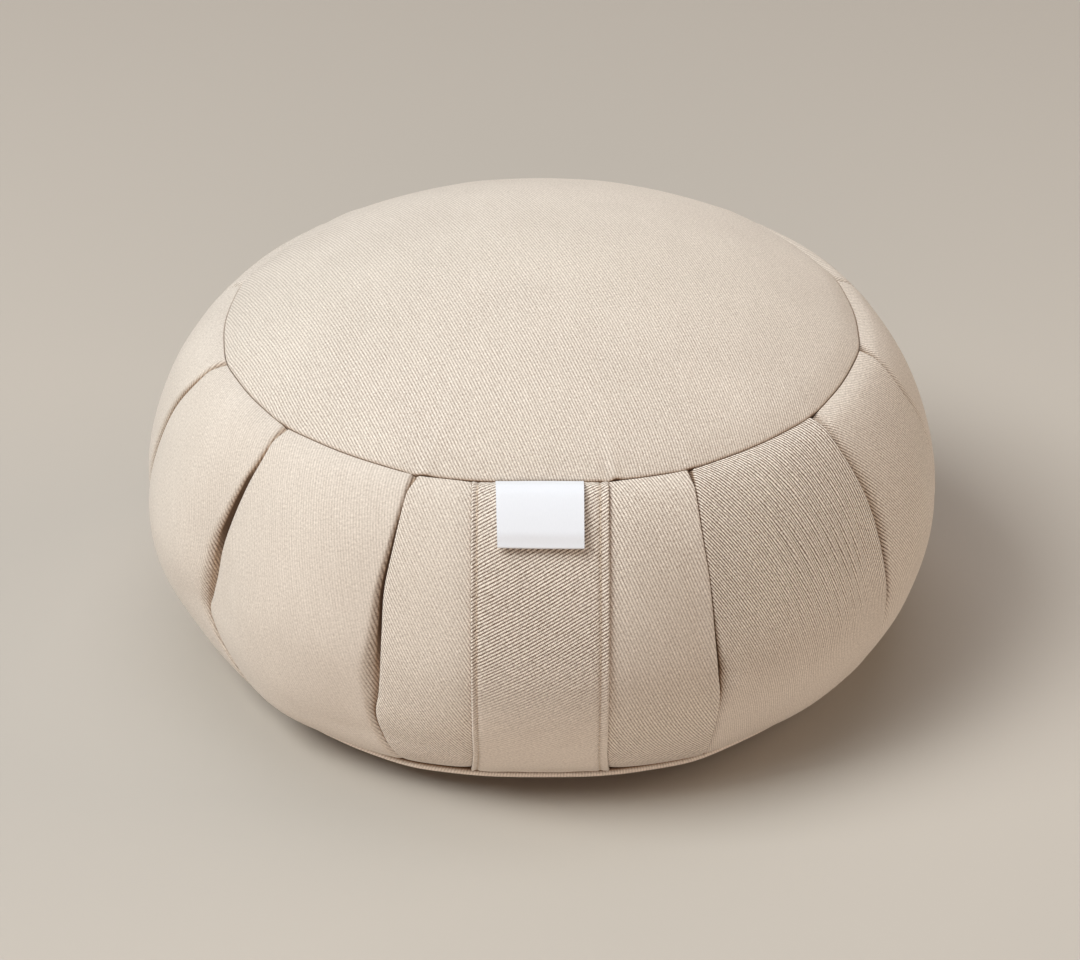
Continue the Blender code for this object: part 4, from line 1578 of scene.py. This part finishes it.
@dataclass
class Placket:
    """The straight strip at the front, its long edges folded under and stitched down."""

    filling: Filling
    left: float = -26.0 * MM
    right: float = 25.5 * MM
    proud: float = 0.9 * MM
    thickness: float = 1.6 * MM
    stitch_inset_left: float = 2.1 * MM
    stitch_inset_right: float = 3.3 * MM
    stitch_dip: float = 0.45 * MM
    stitch_dip_width: float = 0.8 * MM
    edge_roll: float = 0.3 * MM
    edge_roll_width: float = 0.9 * MM
    puff: float = 0.15 * MM
    ripple: float = 0.1 * MM
    foot_ripple: float = 0.35 * MM
    side_points: int = 11
    over_points: int = 86
    under_points: int = 7
    start: float = 0.002
    end: float = 0.983
    end_wave: float = 0.35 * MM
    sink: float = 1.15 * MM
    sink_reach: float = 3.4 * MM
    foot_sink: float = 0.6 * MM
    foot_reach: float = 4.4 * MM
    row_pitch: float = 1.1 * MM
    end_rows_mm: tuple[float, ...] = (0.0, 0.08, 0.2, 0.35, 0.55, 0.9, 1.4, 2.1, 3.0)
    wales: Wales = Wales(-29.5)
    weave: Rows = (
        (0, 0.85), (0.3, 1), (0.45, 0.95), (0.55, 0.62), (0.64, 0.34), (0.75, 0.2), (1, 0.12),
    )

    @property
    def stitch_lines(self) -> tuple[float, float]:
        """Where the two lines of stitches lie across the strip."""
        return self.left + self.stitch_inset_left, self.right - self.stitch_inset_right

    @property
    def length(self) -> float:
        """The strip's length down the band."""
        return (self.end - self.start) * self.filling.form.length

    @cached_property
    def section(self) -> Array:
        """Draw the closed cross-section, from the left edge over.

        Returns:
            Its points, as rows of (across, out).
        """
        radius = 0.5 * self.thickness
        turn = np.linspace(0.0, HALF_TURN, self.side_points)
        sine, cosine = radius * np.sin(turn), radius * np.cos(turn)
        left = np.stack((self.left + radius - sine, self.proud - radius - cosine), axis=-1)
        right = np.stack((self.right - radius + sine, self.proud - radius + cosine), axis=-1)
        inset = 1.25 * radius
        across = np.linspace(self.left + inset, self.right - inset, self.over_points)
        dip = sum(bell(across - line, self.stitch_dip_width) for line in self.stitch_lines)
        share = (across - 0.5 * (self.left + self.right)) / (self.right - self.left)
        out = self.proud - self.stitch_dip * dip + self.puff * np.cos(HALF_TURN * share)
        inset = 2.0 * radius
        under = np.linspace(self.right - inset, self.left + inset, self.under_points)
        under = np.stack((under, np.full_like(under, self.proud - self.thickness)), axis=-1)
        section = np.concatenate((left, np.stack((across, out), axis=-1), right, under))
        rolled = bell(section[:, 0] - self.left - 0.5 * radius, self.edge_roll_width)
        opposite = bell(section[:, 0] - self.right + 0.5 * radius, self.edge_roll_width)
        rolled = (rolled + 0.6 * opposite) * (section[:, 1] > self.proud - radius)
        section[:, 1] += self.edge_roll * rolled
        return section

    def surface(self, across: Array, out: Array, down: Array) -> Array:
        """Points on the strip.

        Args:
            across: Lengths across it.
            out: Lengths out of the band.
            down: Shares of the way down the band.

        Returns:
            The points, sunk towards both ends of the strip.
        """
        sink = np.where(down < 0.5, self.sink, self.foot_sink)
        reach = np.where(down < 0.5, self.sink_reach, self.foot_reach)
        out = out - sink * (1.0 - ease(self.filling.form.from_seam(down) / reach))
        return self.filling.strip_surface(across, down, out)

    def build(self, finish: bpy.types.Material) -> Piece:
        """Model the strip from seam to seam.

        Args:
            finish: The twill.

        Returns:
            The piece, a closed sheet.
        """
        length = self.filling.form.length
        down = self.filling.form.rows(self.end_rows_mm, self.row_pitch, self.start, self.end)
        (across, out), rows = self.section.T[:, None], down[:, None]
        across_mm, from_foot = across / MM, (self.end - rows) * length
        at_foot = bell(rows - 0.95, 0.03)
        ripple = self.ripple * waves(across_mm, rows * length / MM, 43.0)
        ripple = ripple + self.foot_ripple * waves(across_mm, 0.0, 21.0) * at_foot
        outside = out > self.proud - 0.5 * self.thickness
        wave = self.end_wave * waves(across_mm, 0.0, 26.0) / length
        wavy = rows + wave * ease(1.0 - from_foot / (6.0 * MM))
        points = self.surface(across, out + ripple * outside, wavy)
        # painted shade: the strip's underside, the dips along its stitch lines, its lower corners
        # and a line at its foot, where it goes under the lip, are painted darker; towards the foot
        # it is painted paler, as painted light
        weave, painted_shading = table(self.weave, down)[:, None], np.where(outside, 0.0, 0.3)
        for line in self.stitch_lines:
            painted_shading = np.maximum(painted_shading, 0.3 * bell(across - line, 0.5 * MM) * outside)
            weave = np.maximum(weave, 0.55 * bell(across - line, 1.6 * MM) * (rows < 0.95))
        from_side = np.minimum(across - self.left, self.right - across)
        notch = 0.8 * bell(from_side, 1.2 * MM) * bell(from_foot, 1.6 * MM)
        painted_shading = np.maximum(painted_shading, np.maximum(notch, 0.95 * bell(from_foot, 0.35 * MM)))
        painted_shading = painted_shading + 1.1 * (1.0 - painted_shading) ** 2 * painted_foot_light(0.0, rows)
        mesh = ClothMesh("placket_strip")
        over = loop_lengths(self.section)
        mesh.add_tube(
            mesh.add_points(points, weave, painted_shading),
            lambda row, column: self.wales.place(over[column], down[row] * length),
        )
        return mesh.build(finish)


@dataclass
class Stitching:
    """Two rows of short stitches that hold the placket's folded edges down."""

    placket: Placket
    pitch: float = 2.25 * MM
    length: float = 1.5 * MM
    radius: float = 0.24 * MM
    twist_length: float = 0.6 * MM
    wobble: float = 0.07 * MM
    segments: int = 8
    rings: int = 7

    def one_stitch(self) -> tuple[Array, list[list[int]]]:
        """Model one stitch, a short thread that lies along Z.

        Returns:
            Its points and its faces.
        """
        bpy.ops.object.select_all(action="DESELECT")
        bpy.ops.mesh.primitive_uv_sphere_add(
            segments=self.segments, ring_count=self.rings, radius=self.radius, calc_uvs=True
        )
        mesh = bpy.context.object.data
        bpy.ops.object.mode_set(mode="EDIT")
        bpy.ops.mesh.select_all(action="SELECT")
        bpy.ops.transform.resize(value=(1.0, 1.0, 0.5 * self.length / self.radius))
        bpy.ops.object.mode_set(mode="OBJECT")
        shape, faces = places_of(mesh), [list(polygon.vertices) for polygon in mesh.polygons]
        bpy.data.meshes.remove(mesh)
        return shape, faces

    def build(self, finish: bpy.types.Material) -> Piece:
        """Lay copies of the stitch along both edges of the placket.

        Args:
            finish: The thread.

        Returns:
            All the stitches as one piece, each bent down into the cloth at its ends.
        """
        shape, faces = self.one_stitch()
        x, y, z = shape.T
        placket, length = self.placket, self.placket.filling.form.length
        twist = np.stack((np.arctan2(y, x) / TURN, z / self.twist_length), axis=-1)
        height = placket.proud - placket.stitch_dip + 0.1 * self.radius
        arch = -0.6 * self.radius * (z / (0.5 * self.length)) ** 2
        mesh = ClothMesh("placket_stitches")
        for line in placket.stitch_lines:
            for number in range(int(placket.length / self.pitch) - 2):
                down = (placket.start * length + (number + 1.6) * self.pitch - z) / length
                across = line + self.wobble * math.sin(number * 2.4 + line / MM) + x
                indices = mesh.add_points(placket.surface(across, height + y + arch, down))
                for face in faces:
                    mesh.add_cap(indices[face], twist[face])
        return mesh.build(finish)


@dataclass
class Label:
    """The bare label: a white tape folded double, its ends sewn into the top seam."""

    filling: Filling
    proud: float
    left: float = -17.0 * MM
    right: float = 16.0 * MM
    drop: float = 26.6 * MM
    lean: float = 0.9 * MM
    curl: float = 0.35 * MM
    skew: float = 0.3 * MM
    tape: float = 0.36 * MM
    between: float = 0.16 * MM
    clearance: float = 0.4 * MM
    stand_off: float = 1.9 * MM
    fullness: float = 1.0 * MM
    top: float = 0.5 * MM
    sink: float = 1.5 * MM
    sink_reach: float = 3.6 * MM
    threads_pitch: float = 0.42 * MM
    rows: int = 34
    columns: int = 30

    @cached_property
    def middle_line(self) -> Array:
        """Draw the tape's middle line: down behind, round the fold, and up in front.

        Returns:
            Its points, as rows of (distance down, height).
        """
        radius = 0.5 * (self.tape + self.between)
        along = np.linspace(self.top, self.drop - radius, self.rows)
        back = self.proud + self.clearance + 0.5 * self.tape
        lift = back + self.stand_off * ((along - self.top) / self.drop) ** 2.2
        lift = lift - self.sink * (1.0 - ease((along - self.top) / self.sink_reach))
        turn = np.linspace(0.0, HALF_TURN, 12)[1:-1]
        round_down = self.drop - radius + radius * 1.3 * np.sin(turn)
        share = along / self.drop
        bulge = self.fullness * ease(share / 0.3) * (1.0 - ease((share - 0.8) / 0.2))
        front = (lift + 2.0 * radius + bulge)[::-1]
        return np.stack((
            np.concatenate((along, round_down, along[::-1])),
            np.concatenate((lift, lift[-1] + radius - radius * np.cos(turn), front)),
        ), axis=-1)

    @property
    def flat_length(self) -> float:
        """The tape's length before it was folded."""
        down, out = self.middle_line.T
        points = self.filling.strip_surface(0.0 * down, down / self.filling.form.length, out)
        return float(lengths(points)[-1])

    def build(self, finish: bpy.types.Material) -> Piece:
        """Model the folded tape.

        Args:
            finish: The satin tape.

        Returns:
            The piece, a closed sheet.
        """
        way = np.gradient(self.middle_line, axis=0)
        way /= np.linalg.norm(way, axis=1)[:, None]
        aside = 0.5 * self.tape * np.stack((-way[:, 1], way[:, 0]), axis=-1)
        section = np.concatenate((self.middle_line + aside, (self.middle_line - aside)[::-1]))
        along, out = section.T[:, None]
        across = np.linspace(self.left, self.right, self.columns)[:, None]
        share, share_down = (across - self.left) / (self.right - self.left), along / self.drop
        curl = self.curl * (2.0 * share - 1.0) ** 2 * share_down ** 3
        skew = self.skew * (share - 0.5) * share_down
        points = self.filling.strip_surface(
            across, (along + skew) / self.filling.form.length, out + curl
        )
        points[..., 0] = across + self.lean * share_down * (1.0 - 0.9 * share)
        mesh = ClothMesh("label_folded")
        spots = np.stack(np.broadcast_arrays(across, loop_lengths(section)), axis=-1)
        mesh.add_tube(
            mesh.add_points(points, 1.0),
            lambda row, column: spots[row, column] / self.threads_pitch,
        )
        return mesh.build(finish, 50.0)


# ---- the studio

def put(name: str, data: bpy.types.ID, place: Triple, aim: Triple) -> Piece:
    """Put a light or a camera in the scene.

    Args:
        name: Its name.
        data: The light or the camera.
        place: Where it stands.
        aim: What it looks at.

    Returns:
        The new object.
    """
    made = bpy.data.objects.new(name, data)
    made.location = place
    made.rotation_euler = (Vector(aim) - Vector(place)).to_track_quat("-Z", "Y").to_euler()
    bpy.context.scene.collection.objects.link(made)
    return made


@dataclass(frozen=True)
class SoftBox:
    """A square studio light that is aimed at the cushion."""

    name: str
    place: Triple
    size: float
    power: float
    colour: Triple

    def build(self, aim: Triple) -> None:
        """Add the light.

        Args:
            aim: What it looks at.
        """
        lamp = bpy.data.lights.new(self.name, "AREA")
        lamp.size, lamp.energy, lamp.color = self.size, self.power, self.colour
        put(self.name, lamp, self.place, aim)


@dataclass
class Studio:
    """The floor, the lights and the camera of the photograph."""

    camera_place: Triple = (0.0, -1.14176, 0.73666)
    camera_aim: Triple = (-0.0004, 0.0, 0.0587)
    lens_mm: float = 105.37
    sensor_mm: float = 36.0
    floor_size: float = 9.0
    sky: Triple = (1.0, 0.97, 0.94)
    sky_strength: float = 0.015
    light_aim: Triple = (0.0, 0.0, 0.07)
    lights: tuple[SoftBox, ...] = (
        SoftBox("key_from_the_left", (-3.73, -1.0, 4.6), 3.0, 274.0, (0.97, 0.99, 0.98)),
        SoftBox("second_key", (-2.98, -1.72, 4.92), 3.0, 124.0, (0.97, 0.99, 0.98)),
        SoftBox("ceiling", (0.0, 0.0, 6.0), 5.0, 76.0, (0.78, 0.91, 1.0)),
        SoftBox("wall_on_the_right", (5.55, 0.98, 2.05), 4.0, 165.0, (1.0, 0.84, 0.68)),
        SoftBox("wall_behind", (0.0, 3.0, 5.2), 5.0, 95.0, (1.0, 0.87, 0.84)),
        SoftBox("wall_in_front", (0.0, -5.9, 0.7), 3.6, 152.0, (1.0, 0.75, 0.62)),
    )

    def floor(self) -> Piece:
        """Add the plain pale floor.

        Returns:
            The floor.
        """
        bpy.ops.object.select_all(action="DESELECT")
        bpy.ops.mesh.primitive_plane_add(size=self.floor_size)
        made = bpy.context.object
        made.name = "floor"
        made.data.materials.append(FloorFinish().build())
        return made

    def build(self) -> None:
        """Build the studio round the cushion."""
        self.floor()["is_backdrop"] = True
        lens = bpy.data.cameras.new("camera")
        lens.lens, lens.sensor_width = self.lens_mm, self.sensor_mm
        scene = bpy.context.scene
        scene.camera = put("camera", lens, self.camera_place, self.camera_aim)
        for light in self.lights:
            light.build(self.light_aim)
        scene.world = bpy.data.worlds.new("soft_room")
        scene.world.use_nodes = True
        background = scene.world.node_tree.nodes["Background"]
        background.inputs["Color"].default_value = (*self.sky, 1.0)
        background.inputs["Strength"].default_value = self.sky_strength
        scene.view_settings.view_transform = "Standard"


# ---- the cushion

def dress(piece: Piece, node: str | None = None) -> Piece:
    """Attach a piece to the cushion's root, hide the frame's node that it stands for, and log it.

    Args:
        piece: The piece.
        node: The frame's node that it stands for, if it stands for one.

    Returns:
        The same piece.
    """
    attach(piece, "root")
    if node:
        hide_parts(node)
    tell(piece)
    return piece


class Zafu:
    """The whole cushion, built in the order that it is sewn."""

    def __init__(self) -> None:
        """Settle the form and the finishes."""
        self.form = CushionForm()
        self.filling = Filling(self.form)
        self.twill = TwillFinish().build()
        self.tape = TapeFinish().build()
        self.thread = ThreadFinish().build()

    def build_body(self, placket: Placket) -> None:
        """Build the pleated body, with a bed for the placket.

        Args:
            placket: The placket, with its sizes.
        """
        depth = placket.thickness - placket.proud + 0.45 * MM
        body = PleatedBody(self.filling, placket.left, placket.right, depth).build(self.twill)
        dress(body, "filled_body")

    def build_round_panels(self) -> None:
        """Build the top and base panels."""
        top = RoundPanel(self.form, "top_cloth", Seam.TOP, Wales(68.5), crown_weave)
        base = RoundPanel(self.form, "base_cloth", Seam.BOTTOM, Wales(83.0), base_weave)
        for node, panel in (("top_panel", top), ("bottom_panel", base)):
            radius = float(panel.cloth[0])
            dress(panel.build(self.twill), node)

    def build_front(self, placket: Placket) -> None:
        """Build the placket with its stitches, and the label over it.

        Args:
            placket: The placket, with its sizes.
        """
        strip = placket.build(self.twill)
        stitches = dress(Stitching(placket).build(self.thread))
        dress(strip, "front_placket")
        placket.right - placket.left
        placket.length
        label = Label(self.filling, placket.proud)
        dress(label.build(self.tape), "label_tab")
        label.right - label.left
        label.flat_length

    def build(self) -> None:
        """Build every piece."""
        self.filling.swell()
        placket = Placket(self.filling)
        self.build_body(placket)
        self.build_round_panels()
        self.build_front(placket)


def main() -> None:
    """Dress the cushion and set up the studio."""
    logging.basicConfig(level=logging.INFO, format="%(name)s: %(message)s")
    Zafu().build()
    Studio().build()
    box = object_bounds()
    sizes = {"cad": cad_box, "visual": box}
    {name: [list(corner) for corner in both] for name, both in sizes.items()}


if __name__ == "__main__":
    main()
